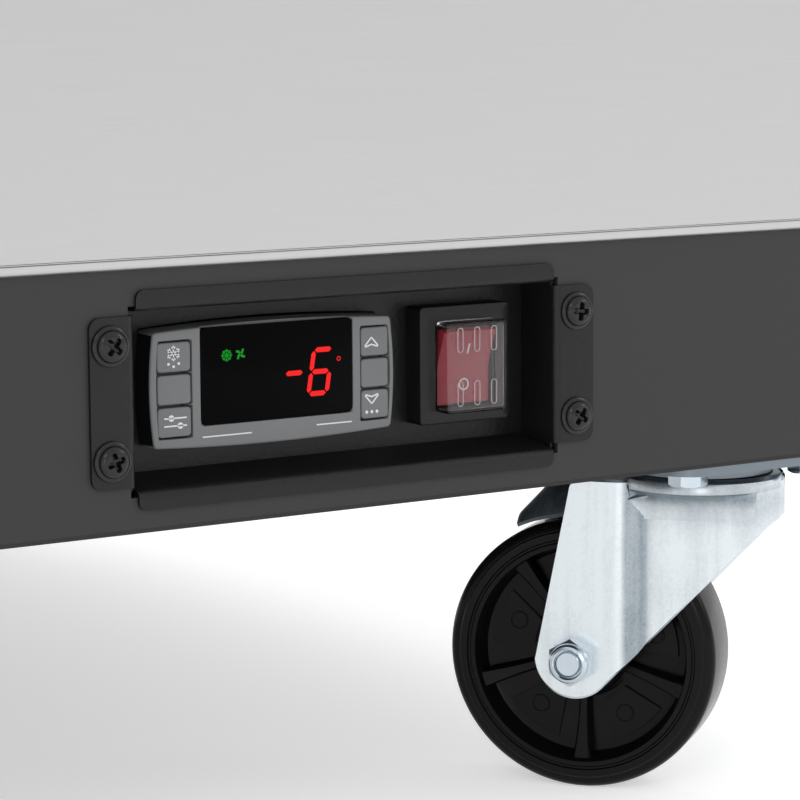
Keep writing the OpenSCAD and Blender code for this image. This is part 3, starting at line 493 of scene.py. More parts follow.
def clear(name, colour, roughness=0.06):
    """Clear moulded plastic with faint flow lines."""
    paint = Paint(name, transmission_weight=1.0, ior=1.4, base_color=colour)
    flow = paint.noise(60.0, 3.0)
    paint.set(roughness=flow * 0.05 + roughness)
    return paint.bump(flow, 0.05, 0.0001).material


def lit(name, colour, power):
    """Glowing segment."""
    paint = Paint(name, base_color=shade(colour, 0.1), roughness=0.4, emission_strength=power,
                  specular_ior_level=0.05)
    glow = paint.noise(700.0, 1.0)
    paint.set(emission_color=paint.mix(glow, shade(colour, 0.9), colour))
    return paint.material


def foamed(name, colour):
    """Rigid foam: tiny open cells."""
    paint = Paint(name)
    cell = paint.cells(900.0)
    paint.set(base_color=paint.mix(cell, shade(colour, 0.8), colour), roughness=cell * 0.1 + 0.8)
    return paint.bump(cell, 0.5, 0.0003).material


MATERIALS = {}


def make_materials():
    """Every material by name, in MATERIALS."""
    sizes, tints = bpy.context.scene.freezer_sizes, bpy.context.scene.freezer_colours
    g = sizes.grain
    steel = tuple(tints.steel)
    made = {
        "steel_front": brushed("steel_front", steel, (14, 400, g)),
        "steel_side": brushed("steel_side", steel, (400, 14, g)),
        "steel_lid": brushed("steel_lid", steel, (14, g, g)),
        "panel_black": painted("panel_black", tuple(tints.panel), 0.55, 2200, 0.00002, 0.12, shine=0.3),
        # The recess: a glossier powder coat whose colour is the panel black times 0.2, painted shade of the
        # recess.
        "recess_black": painted("recess_black", shade(tints.panel, 0.2), 0.36, 700, 0.00016, 0.8,
                                shine=0.3),
        "bezel_grey": moulded("bezel_grey", tuple(tints.bezel), 0.5, specular_ior_level=0.3),
        "key_grey": moulded("key_grey", shade(tints.bezel, 0.96), 0.5, specular_ior_level=0.3),
        "print_white": moulded("print_white", (0.6, 0.61, 0.62), 0.5),
        "window_black": moulded("window_black", (0.0012, 0.0011, 0.0012), 0.16, 400, 0.01,
                                specular_ior_level=0.03),
        "digit_red": lit("digit_red", tuple(tints.digits), 1.0),
        "icon_green": lit("icon_green", (0.008, 0.27, 0.02), 1.0),
        "switch_black": moulded("switch_black", (0.006, 0.006, 0.0065), 0.34, 1500, 0.12,
                                specular_ior_level=0.3),
        "rocker_red": moulded("rocker_red", (0.26, 0.02, 0.035), 0.3, 900, 0.05,
                              subsurface_weight=0.25, subsurface_scale=0.004,
                              emission_color=(0.5, 0.01, 0.02, 1), emission_strength=0.08),
        "cover_clear": clear("cover_clear", (0.93, 0.94, 0.95)),
        # Pale pinkish outlines of the cover's clear ribs: painted highlight along the ribs' edges.
        "rib_frosted": moulded("rib_frosted", (0.5, 0.45, 0.46), 0.4, alpha=0.7),
        "screw_black": painted("screw_black", (0.005, 0.005, 0.0055), 0.24, 1500, 0.00004, 0.3, shine=0.4),
        # Caster plates: the zinc in a darker copy, painted shade under the base tray.
        "zinc_dull": plated("zinc_dull", (0.2, 0.22, 0.235), 0.35),
        "zinc_drawn": drawn_zinc_painted_shade("zinc_drawn", (0.72, 0.77, 0.8), 0.3),
        "bolt": plated("bolt", (0.6, 0.64, 0.67), 0.2),
        "wheel_black": moulded("wheel_black", (0.004, 0.004, 0.0045), 0.2, 500, 0.08,
                               specular_ior_level=0.3, ior=1.3),
        "zinc_sheet": plated("zinc_sheet", (0.5, 0.51, 0.53), 0.45),
        "tub_white": painted("tub_white", (0.8, 0.82, 0.83), 0.25, 700, 0.00004, 0.2, 0.3),
        "lid_white": moulded("lid_white", (0.82, 0.84, 0.85), 0.35, 900, 0.2),
        "foam": foamed("foam", (0.78, 0.66, 0.36)),
        "rim_grey": moulded("rim_grey", (0.1, 0.103, 0.108), 0.42, 1200, 0.25),
        "handle_black": moulded("handle_black", (0.016, 0.0165, 0.018), 0.38, 1300, 0.3),
        "gasket_grey": rubbery("gasket_grey", (0.16, 0.165, 0.17)),
        "rubber_black": rubbery("rubber_black", (0.02, 0.02, 0.021)),
        "machine_black": painted("machine_black", (0.012, 0.012, 0.014), 0.28, 500, 0.0001, 0.25, 0.4),
        "aluminium": plated("aluminium", (0.78, 0.79, 0.8), 0.36),
        "copper": plated("copper", (0.78, 0.36, 0.2), 0.34),
        "hinge_steel": plated("hinge_steel", (0.62, 0.64, 0.66), 0.3),
        "wire_white": painted("wire_white", (0.78, 0.8, 0.81), 0.28, 600, 0.00005, 0.2, 0.3),
        "vent_black": moulded("vent_black", (0.014, 0.014, 0.015), 0.45, 1500, 0.3),
    }
    MATERIALS.update(made)


# CAD nodes that stay, and their materials
KEPT = {
    "steel_side": ["side_panel_left", "side_panel_right"],
    "panel_black": ["kick_panel", "base_tray"],
    "zinc_sheet": ["back_panel", "bottom_liner"],
    "tub_white": ["inner_tub"],
    "foam": ["foam_body", "lid_foam"],
    "rim_grey": ["rim_frame"],
    "machine_black": ["compressor", "fan_shroud", "fan_motor"],
    "rubber_black": ["compressor_feet"],
    "aluminium": ["condenser_coil", "evaporator_coil", "fan_blade"],
    "copper": ["filter_drier", "refrigerant_tubes"],
    "vent_black": ["side_grille", "cord_gland", "controller_housing"],
    "hinge_steel": ["hinge_bodies", "hinge_arms", "hinge_pins"],
    "lid_white": ["lid_liner"],
    # The caster plates take the darker zinc, painted shade.
    "zinc_dull": ["caster_plates"],
    "bolt": ["lock_catch"],
}


def finish_kept_nodes():
    """Puts each material of KEPT on its nodes."""
    for name, nodes in KEPT.items():
        for node in nodes:
            thing = frame["nodes"][node]
            for slot in thing.material_slots:
                slot.material = MATERIALS[name]
            if not thing.material_slots:
                thing.data.materials.append(MATERIALS[name])


def new_piece(surface, name, body, material, slot, replaces=(), place=None, **more):
    """Makes a piece and hides the CAD nodes that it stands for; its slot is not used."""
    thing = surface.piece(name, body, MATERIALS[material], place, **more)
    if replaces:
        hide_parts(*replaces)
    return thing


# ---------- stainless skin ----------

def wrap_path(half_w, front, back, r):
    """Plan of a front skin: along one side, round a corner, the front, and back again."""
    return fillet([(-half_w, back), (-half_w, front), (half_w, front), (half_w, back)], r, 8)

HEM_DEPTH = 12.0

SKIN_CORNER = 6.0


def hem_profile(z0, z1, edge, depth):
    """Section of the skin as (outward, up): inner hem, rolled bottom edge, a small crease, the
    face, and the rolled top edge with its hem."""
    low = rolled(edge, z0, 1) * [-1, 1]
    high = rolled(edge, z1, -1)[::-1] * [-1, 1]
    crease = np.array([(0, 2.2), (0, 2.5), (-0.5, 2.75), (-0.5, 2.95), (0, 3.2)]) + [0, z0]
    return np.vstack([[(-depth, z0 + 1), (-depth, z0)], low, crease, high,
                      [(-depth, z1), (-depth, z1 - 1)]])


def make_skin():
    """Front skin: the plan path drawn once for each point of the hem profile, moved outwards by
    the point's first value and set at the height of its second."""
    edge = bpy.context.scene.freezer_sizes.edge
    rows = []
    for outward, z in hem_profile(SKIN_LO[2], SKIN_HI[2], edge, HEM_DEPTH):
        radius = SKIN_CORNER + outward if outward > -5 else 1.0
        path = wrap_path(SKIN_HI[0] + outward, SKIN_LO[1] - outward, SKIN_HI[1], radius)
        rows.append(lifted(path, z))
    new_piece(Surface().grid(rows), "front_skin", "cabinet", "steel_front", "stainless", ["front_panel"])


def make_lid():
    """Lid skin: round rectangles up the lid, inset by a hem, a rolled lower edge and a rounded
    upper edge, the last one filled as the flat top. Gasket: a bellows profile carried round it."""
    edge = bpy.context.scene.freezer_sizes.edge
    hem, flat, corner, top_r = 14.0, 40.0, 8.0, 5.0
    inset, z = np.vstack([[(hem, LID_LO[2] + 1.2), (hem, LID_LO[2])], rolled(edge, LID_LO[2], 1, 7),
                          rolled(top_r, LID_HI[2], -1, 7)[::-1], [(flat, LID_HI[2])]]).T
    loops = rect_loop(LID_HI[0] - inset, LID_HI[1] - inset, np.maximum(corner - inset, 2.5), 7)
    surface = Surface().grid(lifted(loops, z), wrap_v=True, cap="last")
    new_piece(surface, "lid_shell", "lid", "steel_lid", "stainless", ["lid_skin"])
    lo, hi = corners("lid_gasket")
    # insets in millimetres, heights as shares of the gasket's half height
    inset, share = np.array([(0, 1), (2, 0.55), (0.4, 0.2), (2.6, -0.3), (1.2, -1), (20, -1),
                             (22, -0.2), (20, 0.2), (22.5, 0.6), (22, 1)]).T
    loops = lifted(rect_loop(hi[0] - inset, hi[1] - inset, 14, 8),
                   (hi[2] + lo[2]) / 2 + share * (hi[2] - lo[2]) / 2)
    surface = Surface().grid(loops, wrap_u=True, wrap_v=True)
    new_piece(surface, "gasket_bellows", "lid", "gasket_grey", "gasket_grey", ["lid_gasket"])


# ---------- control recess ----------

def ends_rounded(x, end, r):
    """How much a sheet is shortened near its rounded ends, by a quarter circle."""
    d = np.clip(end - np.abs(x), 0, r)
    return r - np.sqrt(np.maximum(r * r - (r - d) ** 2, 0))


def dense(end, r):
    """Stations from -end to end: only in the two rounded ends, at end - r + r sin t."""
    near = end - r + r * np.sin(np.linspace(math.pi / 2, 0, 7))
    return np.unique(np.round(np.concatenate([-near, near]), 6))


def folded_flange(end, r, inner, wall, tip, t=1.0, bend=1.6):
    """Recess wall with its flange: a bent sheet's section in (y, height), drawn at stations along
    x, its tip pulled back by a quarter circle near both ends."""
    rows = []
    way = math.copysign(1, tip)
    for x in dense(end, r):
        end_z = tip - way * ends_rounded(x, end, r)
        path = fillet([(FLOOR_Y + t, inner), (-t / 2, wall), (-t / 2, end_z)], bend, 6)
        outline = thicken(path, t)
        rows.append(np.column_stack([np.full(len(outline), x), outline]))
    return np.array(rows)


# control recess, in millimetres from the controller's middle
CONTROLLER_HOLE_X, SWITCH_HOLE_X, HOLE_Z = (-34, 34), (48, 73.5), 13.5
RECESS = {"centre": 19.45, "half": 64.9, "top": 21.6, "bottom": -24.1, "back_bottom": -21.4,
          "lip_top": 27.0, "lip_bottom": -28.9, "tab": 77.66, "tab_half": 21.7, "tab_z": -1.0}


def make_recess():
    """Recess: a folded flange above and below, two side walls with round-ended screw tabs and the
    strips that close them, and a floor of flat cells with the controller's and switch's holes."""
    r = RECESS
    t = 1.0
    surface = Surface()
    over, under = r["top"] + t / 2, r["bottom"] - t / 2
    for inner, wall, tip in ((over, over, r["lip_top"]), (r["back_bottom"] - t / 2, under, r["lip_bottom"])):
        rows = folded_flange(r["half"] - 0.5, 2.3, inner, wall, tip)
        surface.grid(rows + [r["centre"], 0, 0], wrap_v=True, cap=True)
    wall = r["half"] + t / 2
    tab_r, strip_y = 3.0, 1.6
    for side in (-1, 1):
        rows = []
        for z in dense(r["tab_half"], tab_r):
            tip = r["tab"] - ends_rounded(z, r["tab_half"], tab_r)
            path = fillet([(FLOOR_Y + t, wall), (-t / 2, wall), (-t / 2, tip)], 1.5, 6)
            y, x = thicken(path, t).T
            rows.append(np.column_stack([x * side + r["centre"], y, np.full(len(y), z + r["tab_z"])]))
        surface.grid(rows, wrap_v=True, cap=True)
        half_y = (FLOOR_Y - strip_y) / 2
        loop = rect_loop(t / 2, half_y, 0.01, 2) + [r["centre"] + side * wall, strip_y + half_y]
        for z0, z1 in ((r["bottom"], r["tab_z"] - r["tab_half"]), (r["tab_z"] + r["tab_half"], r["top"])):
            surface.grid([lifted(loop, z0), lifted(loop, z1)], wrap_v=True, cap=True)
    xs = [r["centre"] - r["half"] - t, *CONTROLLER_HOLE_X, *SWITCH_HOLE_X, r["centre"] + r["half"] + t]
    zs = [r["bottom"] - t, -HOLE_Z, HOLE_Z, r["top"] + t]
    for i, x in enumerate(zip(xs, xs[1:])):
        for j, z in enumerate(zip(zs, zs[1:])):
            if i not in (1, 3) or j != 1:
                surface.grid([[(u, FLOOR_Y, w) for w in z] for u in x])
    new_piece(surface, "recess_sheet", "cabinet", "recess_black", "control_box_powder",
              ["control_box"], CONTROL_PLACE)
    make_screws()


def screw_head(spin, n=48):
    """Pan head facing the front: rings of a turned dome, then a cross-shaped hollow whose depth
    runs out with the distance from its arms' middle lines, turned by spin about its axis."""
    t = np.linspace(0, TAU, n, endpoint=False)
    dome = np.array([(5.25, 0.0), (5.25, 0.5), (5.0, 0.8), (4.25, 0.85), (4.2, 1.1), (4.0, 1.75),
                     (3.4, 2.25), (2.6, 2.5)])
    r = np.linspace(2.4, 0.0, 14)[:, None]
    arm = r * np.minimum(np.abs(np.sin(t)), np.abs(np.cos(t)))
    inside = np.clip((0.72 - arm) / 0.2, 0, 1) * np.clip((2.45 - r) / 0.25, 0, 1)
    cross = 2.5 - 2.0 * inside * (1 - 0.25 * r / 2.4)
    radius = np.vstack([dome[:, :1], r])
    height = np.vstack([np.repeat(dome[:, 1:], n, 1), cross])
    return spun(np.stack([radius * np.cos(t), -height, radius * np.sin(t)], -1), spin)


def make_screws():
    """Two screws on each tab, each with its cross at another angle."""
    surface = Surface()
    for x, turn in ((-71.9, 0.35), (71.9, 0.95)):
        for z, more in ((-14.5, 0.0), (14.5, 0.5)):
            spot = [x + RECESS["centre"], -1.0, z + RECESS["tab_z"]]
            surface.grid(screw_head(turn + more) + spot, wrap_v=True)
    new_piece(surface, "tab_screws", "cabinet", "screw_black", "screw_steel",
              ["control_box_screws"], CONTROL_PLACE, sharp=50, merge=0.01)


# ---------- controller ----------

KEY_X = {"left": (-34.3, -24.6), "right": (26.3, 34.8)}
KEY_Z = {"upper": (4.2, 12.6), "middle": (-4.2, 4.2), "lower": (-12.6, -4.2)}
WINDOW = (-22.2, 24.0, -10.0, 15.35)


def box_distance(x, z, x0, x1, z0, z1, r):
    """Signed distance to a round rectangle, negative inside."""
    qx = np.abs(x - (x0 + x1) / 2) - (x1 - x0) / 2 + r
    qz = np.abs(z - (z0 + z1) / 2) - (z1 - z0) / 2 + r
    return np.hypot(np.maximum(qx, 0), np.maximum(qz, 0)) + np.minimum(np.maximum(qx, qz), 0) - r


def lines(low, high, step, marks, near=0.07):
    """Grid lines from low to high, with a close pair at every mark."""
    base = np.arange(low, high + step / 2, step)
    extra = [m + d for m in marks for d in (-near, near)]
    return np.unique(np.round(np.concatenate([base, extra, [low, high]]), 4))


def make_bezel():
    """Bezel front as a depth over a grid of x and z: a quarter circle at the rim, one depth in the
    key pockets and another in the window's. The rim is carried outwards by a parabola."""
    hw, hh, bulge, rim_r = 35.9, 14.9, 1.1, 0.5
    key_pocket, window_pocket = 3.2, 1.6
    near_rim = np.array([0.0, 0.06, 0.16, 0.3, 0.5, 0.75, 1.0])
    marks_x = [v for pair in KEY_X.values() for v in pair] + [WINDOW[0], WINDOW[1]]
    marks_z = [12.6, 4.2, -4.2, -12.6, WINDOW[2], WINDOW[3]]
    xs = np.unique(np.concatenate([lines(-hw, hw, 1.2, marks_x), hw - near_rim, near_rim - hw]))
    zs = np.unique(np.concatenate([lines(-hh, hh, 1.0, marks_z), hh - near_rim, near_rim - hh]))
    x, z = np.meshgrid(xs, zs, indexing="ij")
    edge = -box_distance(x, z, -hw, hw, -hh, hh, 1.0)
    drop = rim_r - np.sqrt(np.maximum(rim_r ** 2 - np.clip(rim_r - edge, 0, rim_r) ** 2, 0))
    for a, b in KEY_X.values():
        for c, d in KEY_Z.values():
            drop = np.where(box_distance(x, z, a, b, c, d, 0.9) < 0, key_pocket, drop)
    drop = np.where(box_distance(x, z, *WINDOW, 1.6) < 0, window_pocket, drop)
    drop = np.where(edge < -0.1, FLOOR_Y - BEZEL_Y, drop)
    out_x = bulge * (1 - (z / hh) ** 2) * (np.abs(x) / hw) ** 8 * np.sign(x)
    out_z = bulge * (1 - (x / hw) ** 2) * (np.abs(z) / hh) ** 8 * np.sign(z)
    top = np.stack([x + out_x, BEZEL_Y + drop, z + out_z], -1)
    new_piece(Surface().grid(top), "bezel_front", "cabinet", "bezel_grey", "bezel_grey",
              ["controller_bezel"], CONTROL_PLACE, sharp=50, merge=0.01)
    ring = around(top)
    low = ring * [1, 0, 1] + [0, FLOOR_Y, 0]
    # The bezel's sides down to the recess floor in black instead of the bezel's grey: painted shade on its
    # side walls.
    skirt = Surface().grid([ring + [0, 0.02, 0], low], wrap_v=True)
    new_piece(skirt, "bezel_skirt", "cabinet", "switch_black", "bezel_grey", (), CONTROL_PLACE)
    make_keys()
    make_display()


def around(grid):
    """The outer points of a grid, once round."""
    return np.concatenate([grid[:, 0], grid[-1, 1:], grid[::-1, -1][1:], grid[0, ::-1][1:-1]])


def key_plate(x_range, z_range, side):
    """Key: a round plate flush with the bezel, parted from it by a groove on three sides."""
    gap, hinge = 0.42, -0.4
    x0 = x_range[0] + (hinge if side == "left" else gap)
    x1 = x_range[1] - (gap if side == "left" else hinge)
    z0, z1 = z_range[0] + gap, z_range[1] - gap
    loops = slab((x1 - x0) / 2, (z1 - z0) / 2, 1.0, 0, 2.6, 0, 0.35, 4, 6)
    return np.stack([loops[..., 0] + (x0 + x1) / 2, BEZEL_Y + 2.64 - loops[..., 2],
                     loops[..., 1] + (z0 + z1) / 2], -1)


def flat_marks(shapes, height):
    """Ribbons of flat print, at a small height before the bezel or window."""
    surface = Surface()
    for grid in shapes:
        grid = np.asarray(grid, float)
        surface.grid(np.stack([grid[..., 0], np.full(grid.shape[:2], BEZEL_Y - height),
                               grid[..., 1]], -1))
    return surface


def circle_line(cx, cz, r, n=24, start=0.0, end=TAU):
    """Arc of n points from angle start to angle end, or a whole circle without a double point."""
    t = np.linspace(start, end, n, endpoint=end - start < TAU - 1e-6)
    return np.stack([cx + r * np.cos(t), cz + r * np.sin(t)], -1)


def filled_dot(cx, cz, r, n=16):
    """Round dot: spokes from a circle to its centre."""
    ring = circle_line(cx, cz, r, n)
    ring = np.vstack([ring, ring[:1]])
    return np.stack([ring, np.full_like(ring, 0) + [cx, cz]], 1)


def snowflake(cx, cz, r, width, arms=6):
    """Equal arms from a centre, each with two barbs a little over half way out."""
    shapes = []
    centre = np.array([cx, cz])
    for k in range(arms):
        a = k * TAU / arms + math.pi / 2
        d = np.array([math.cos(a), math.sin(a)])
        shapes.append(stroke([centre, centre + d * r], width))
        root = centre + d * r * 0.55
        for way in (-0.8, 0.8):
            barb = np.array([math.cos(a + way), math.sin(a + way)])
            shapes.append(stroke([root, root + barb * r * 0.38], width))
    return shapes


def make_keys():
    """Four keys and two blank fields as round plates, with flat ribbons for their marks."""
    cx, cz = -30.0, 8.9
    defrost = snowflake(cx, cz + 0.5, 2.0, 0.36)
    defrost += [filled_dot(cx + dx, cz + dz, 0.38) for dx, dz in ((-1.5, -2.2), (0, -2.9), (1.5, -2.2))]
    # two sliders with their knobs
    cx, cz, reach = -29.7, -8.2, 3.3
    sliders = []
    for dz, knob in ((0.9, -1.2), (-1.1, 1.4)):
        sliders.append(stroke([(cx - reach, cz + dz), (cx + reach, cz + dz)], 0.42))
        sliders.append(filled_dot(cx + knob, cz + dz, 0.85))
    cx = 29.9
    arrows = []
    for cz, way in ((8.2, 1), (-6.9, -1)):
        head = [(cx, cz + 1.35 * way), (cx + 2.45, cz - 1.35 * way), (cx, cz - 0.55 * way),
                (cx - 2.45, cz - 1.35 * way)]
        arrows.append([stroke(fillet(head + head[:1], 0.15, 2), 0.4)])
    arrows[1] += [filled_dot(cx + dx, -10.4, 0.45) for dx in (-1.6, 0, 1.6)]
    for node, side, level, shapes in (
            ("key_defrost", "left", "upper", defrost), ("key_set", "left", "lower", sliders),
            ("key_up", "right", "upper", arrows[0]), ("key_down", "right", "lower", arrows[1])):
        surface = Surface().grid(key_plate(KEY_X[side], KEY_Z[level], side), wrap_v=True, cap=True)
        new_piece(surface, node + "_cap", node, "key_grey", "key_grey", [node], CONTROL_PLACE)
        new_piece(flat_marks(shapes, 0.03), node + "_print", node, "print_white", "key_grey",
                  (), CONTROL_PLACE)
    for side in SIDES:
        surface = Surface().grid(key_plate(KEY_X[side], KEY_Z["middle"], side), wrap_v=True, cap=True)
        new_piece(surface, "blank_field_" + side, "cabinet", "key_grey", "key_grey", (), CONTROL_PLACE)


SEGMENTS = {"top": ((0, 2), (1, 2)), "upper_left": ((0, 1), (0, 2)), "lower_left": ((0, 0), (0, 1)),
            "lower_right": ((1, 0), (1, 1)), "bottom": ((0, 0), (1, 0)), "middle": ((0, 1), (1, 1))}


def segment(a, b, width):
    """Seven-segment bar: a ribbon with pointed ends."""
    a, b = np.asarray(a, float), np.asarray(b, float)
    d = (b - a) / np.linalg.norm(b - a)
    n = np.array([-d[1], d[0]]) * width / 2
    a, b = a + d * 0.25, b - d * 0.25
    tip = width / 2
    return np.array([[a, a], [a + d * tip + n, a + d * tip - n], [b - d * tip + n, b - d * tip - n],
                     [b, b]])


def slant(shapes, cz, lean=0.16):
    """Shapes leaned to the right: x grows by lean times the height over cz."""
    return [np.stack([s[..., 0] + (s[..., 1] - cz) * lean, s[..., 1]], -1) for s in shapes]


def make_display():
    """Window: a round plate. Digit: six of seven bars, with a minus before it and a ring after.
    Icons: a snowflake and a fan of four strokes that turn as they leave the middle."""
    x0, x1, z0, z1 = WINDOW
    plate = slab((x1 - x0) / 2 - 0.05, (z1 - z0) / 2 - 0.05, 1.5, 0, 1.5, 0, 0.2, 3, 6)
    rows = standing(plate, (x0, x1), (z0, z1), BEZEL_Y + 1.6)
    new_piece(Surface().grid(rows, wrap_v=True, cap=True), "display_glass", "cabinet",
              "window_black", "window_dark", ["display_window"], CONTROL_PLACE)
    wide, tall, cx, cz, bar = 5.6, 11.5, 13.9, 1.6, 1.35
    corner, grow = np.array([cx - wide / 2, cz - tall / 2]), np.array([wide, tall / 2])
    bars = [segment(corner + grow * a, corner + grow * b, bar) for a, b in SEGMENTS.values()]
    bars.append(segment((3.0, cz + 0.1), (8.7, cz + 0.1), bar))
    shapes = slant(bars, cz)
    shapes.append(stroke(circle_line(19.6, 4.6, 0.5, 16), 0.26, closed=True))
    new_piece(flat_marks(shapes, 0.04), "display_digits", "cabinet", "digit_red", "window_dark",
              (), CONTROL_PLACE)
    icons = snowflake(-14.4, 7.8, 1.65, 0.26, 8)
    r = np.linspace(0.2, 1.5, 6)
    for k in range(4):
        a = k * TAU / 4 + 0.4 + r * 0.45
        icons.append(stroke(np.stack([-10.3 + r * np.cos(a), 7.9 + r * np.sin(a)], -1), 0.62))
    new_piece(flat_marks(icons, 0.04), "display_icons", "cabinet", "icon_green", "window_dark",
              (), CONTROL_PLACE)
    words = [stroke([(-21.8, -12.9), (-7.2, -12.9)], 0.35), stroke([(12.6, -12.5), (23.6, -12.5)], 0.35)]
    new_piece(flat_marks(words, 0.03), "bezel_print", "cabinet", "print_white", "bezel_grey",
              (), CONTROL_PLACE)


# ---------- rocker switch ----------

FRAME_X, FRAME_Z = (46.1, 75.5), (-15.8, 16.3)
COVER_X, COVER_Z = (51.1, 70.9), (-12.5, 12.25)
SWITCH_PROUD, COVER_PROUD = 7.0, 5.6


def standing(loops, x_range, z_range, y_front):
    """Slab drawn in plan, stood up with its top at y_front, facing the front."""
    loops = np.asarray(loops)
    return np.stack([loops[..., 0] + sum(x_range) / 2, y_front - loops[..., 2],
                     loops[..., 1] + sum(z_range) / 2], -1)


def make_switch():
    """Frame: round rectangles whose insets and depths lead over the front and down into a well.
    Cover: a thin clear box, drawn as its inside and then its outside, with the outlines of oblong
    ribs on it as thin pale rings, painted highlight on the ribs' edges."""
    front = FLOOR_Y - SWITCH_PROUD
    a, b = (FRAME_X[1] - FRAME_X[0]) / 2, (FRAME_Z[1] - FRAME_Z[0]) / 2
    inset_x, inset_z, depth = np.array([
        (0, 0, 7.0), (0, 0, 0.5), (0.15, 0.15, 0.15), (0.5, 0.5, 0.0), (5.9, 4.1, 0.0),
        (6.1, 4.3, 0.3), (6.1, 4.3, 9.0)]).T
    loops = lifted(rect_loop(a - inset_x, b - inset_z, np.maximum(1.2 - inset_x, 0.6), 5), -depth)
    surface = Surface().grid(standing(loops, FRAME_X, FRAME_Z, front), wrap_v=True, cap="last")
    new_piece(surface, "switch_frame", "cabinet", "switch_black", "switch_black",
              ["switch_housing"], CONTROL_PLACE)
    a, b = (COVER_X[1] - COVER_X[0]) / 2, (COVER_Z[1] - COVER_Z[0]) / 2
    wall = 0.8
    out = slab(a, b, 1.2, 0, COVER_PROUD, 0, 0.6, 5, 6)
    inner = slab(a - wall, b - wall, wall, 0, COVER_PROUD - wall, 0, 0.4, 5, 6)[::-1]
    shell = standing(np.concatenate([inner, out]), COVER_X, COVER_Z, front)
    surface = Surface().grid(shell, wrap_v=True, cap=True)
    new_piece(surface, "splash_cover", "cabinet", "cover_clear", "clear_cover",
              ["switch_cover"], CONTROL_PLACE)
    face_y = front - COVER_PROUD - 0.05
    # The ribs as thin pale rings: painted highlight along the clear ribs' edges.
    surface = Surface()
    for x in (55.4, 60.9, 66.4):
        for z in (7.4, -7.2):
            ring = swap(lifted(rect_loop(0.85, 3.3, 0.8, 5) + [x, z], face_y), (0, 2, 1))
            surface.grid(tube(ring, 0.13, 8, closed=True), wrap_u=True, wrap_v=True)
    new_piece(surface, "cover_ribs", "cabinet", "rib_frosted", "clear_cover", (), CONTROL_PLACE)
    make_rocker()

ROCKER_HALF = 10.2

ROCKER_TILT = math.radians(10)


def rocker_face(z):
    """Dished face of the rocker: its y is -4.3 + 1.5 cos(z over its half height, to a quarter
    turn) to the power of 1.5."""
    return -4.3 + 1.5 * np.cos(z / ROCKER_HALF * math.pi / 2) ** 1.5


def tilted(y, z):
    """The rocker's section turned to its off position."""
    c, k = math.cos(ROCKER_TILT), math.sin(ROCKER_TILT)
    return np.stack([y * c - z * k, y * k + z * c], -1)


def make_rocker():
    """Rocker: its section, the dished face and a back of four corners, carried across x and
    shrunk a little at both ends; a bar and a ring lie on the face."""
    pivot, _ = joint_place("rocker_tilt")
    half, wide = ROCKER_HALF, 8.2
    s = np.linspace(-half, half, 25)
    face = np.stack([rocker_face(s), s], -1)
    back = [(-1.0, half), (4.5, 3.0), (4.5, -3.0), (-1.0, -half)]
    section = tilted(*np.vstack([face, back]).T)
    rows = []
    for x, inset in ((-wide, 0.5), (-wide + 0.2, 0.15), (-wide + 0.6, 0), (wide - 0.6, 0),
                     (wide - 0.2, 0.15), (wide, 0.5)):
        rows.append(np.column_stack([np.full(len(section), x), section * (1 - inset / half)]))
    place = shift(*pivot)
    surface = Surface().grid(rows, wrap_v=True, cap=True)
    new_piece(surface, "rocker_lens", "rocker", "rocker_red", "rocker_red", ["switch_rocker"], place)
    bar = stroke([(0.2, 3.4), (0.2, 6.4)], 0.55)
    ring = stroke(circle_line(0, -5.2, 1.45, 24), 0.4, closed=True)
    surface = Surface()
    for mark in (bar, ring):
        x, z = mark[..., 0], mark[..., 1]
        surface.grid(np.concatenate([x[..., None], tilted(rocker_face(z) - 0.06, z)], -1))
    new_piece(surface, "rocker_marks", "rocker", "print_white", "rocker_red", (), place)


# ---------- casters ----------

WHEEL_R = joint_place("roll_front_right")[0][2]
GUSSET, STRAP = 13.75, 17.95        # half widths of the fork sheet's middle line
FORK_T = 2.5                        # thickness of the fork sheet
TRAIL, STRAP_R = 34.0, 12.0         # axle from the kingpin, and the round end about it
WEB_Z, SHEET_TOP = 93.5, 96.4       # heights of the hood and of the side sheet's upper edge
REAR_R = 24.2                       # plan circle at the fork's rear
TAIL_SLOPE = (87.2 - 52.6) / 33     # fall of the lower edge from the rear to the axle
HOOD_HALF = 18.6                    # half width of the hood
BOLT_OUT = 22.5                     # plate bolts from the kingpin


def smooth_step(x, a, b):
    """0 below a, 1 over b, and 3 t squared less 2 t cubed between them."""
    t = np.clip((x - a) / (b - a), 0, 1)
    return t * t * (3 - 2 * t)


def side_line(u):
    """Half width of the fork sheet's middle line: the rear circle, the gusset, and a joggle out to
    the strap."""
    v = GUSSET + (STRAP - GUSSET) * smooth_step(u, 13.0, 21.0)
    return np.where(u < 0, np.minimum(v, np.sqrt(np.maximum(REAR_R ** 2 - u ** 2, 0))), v)


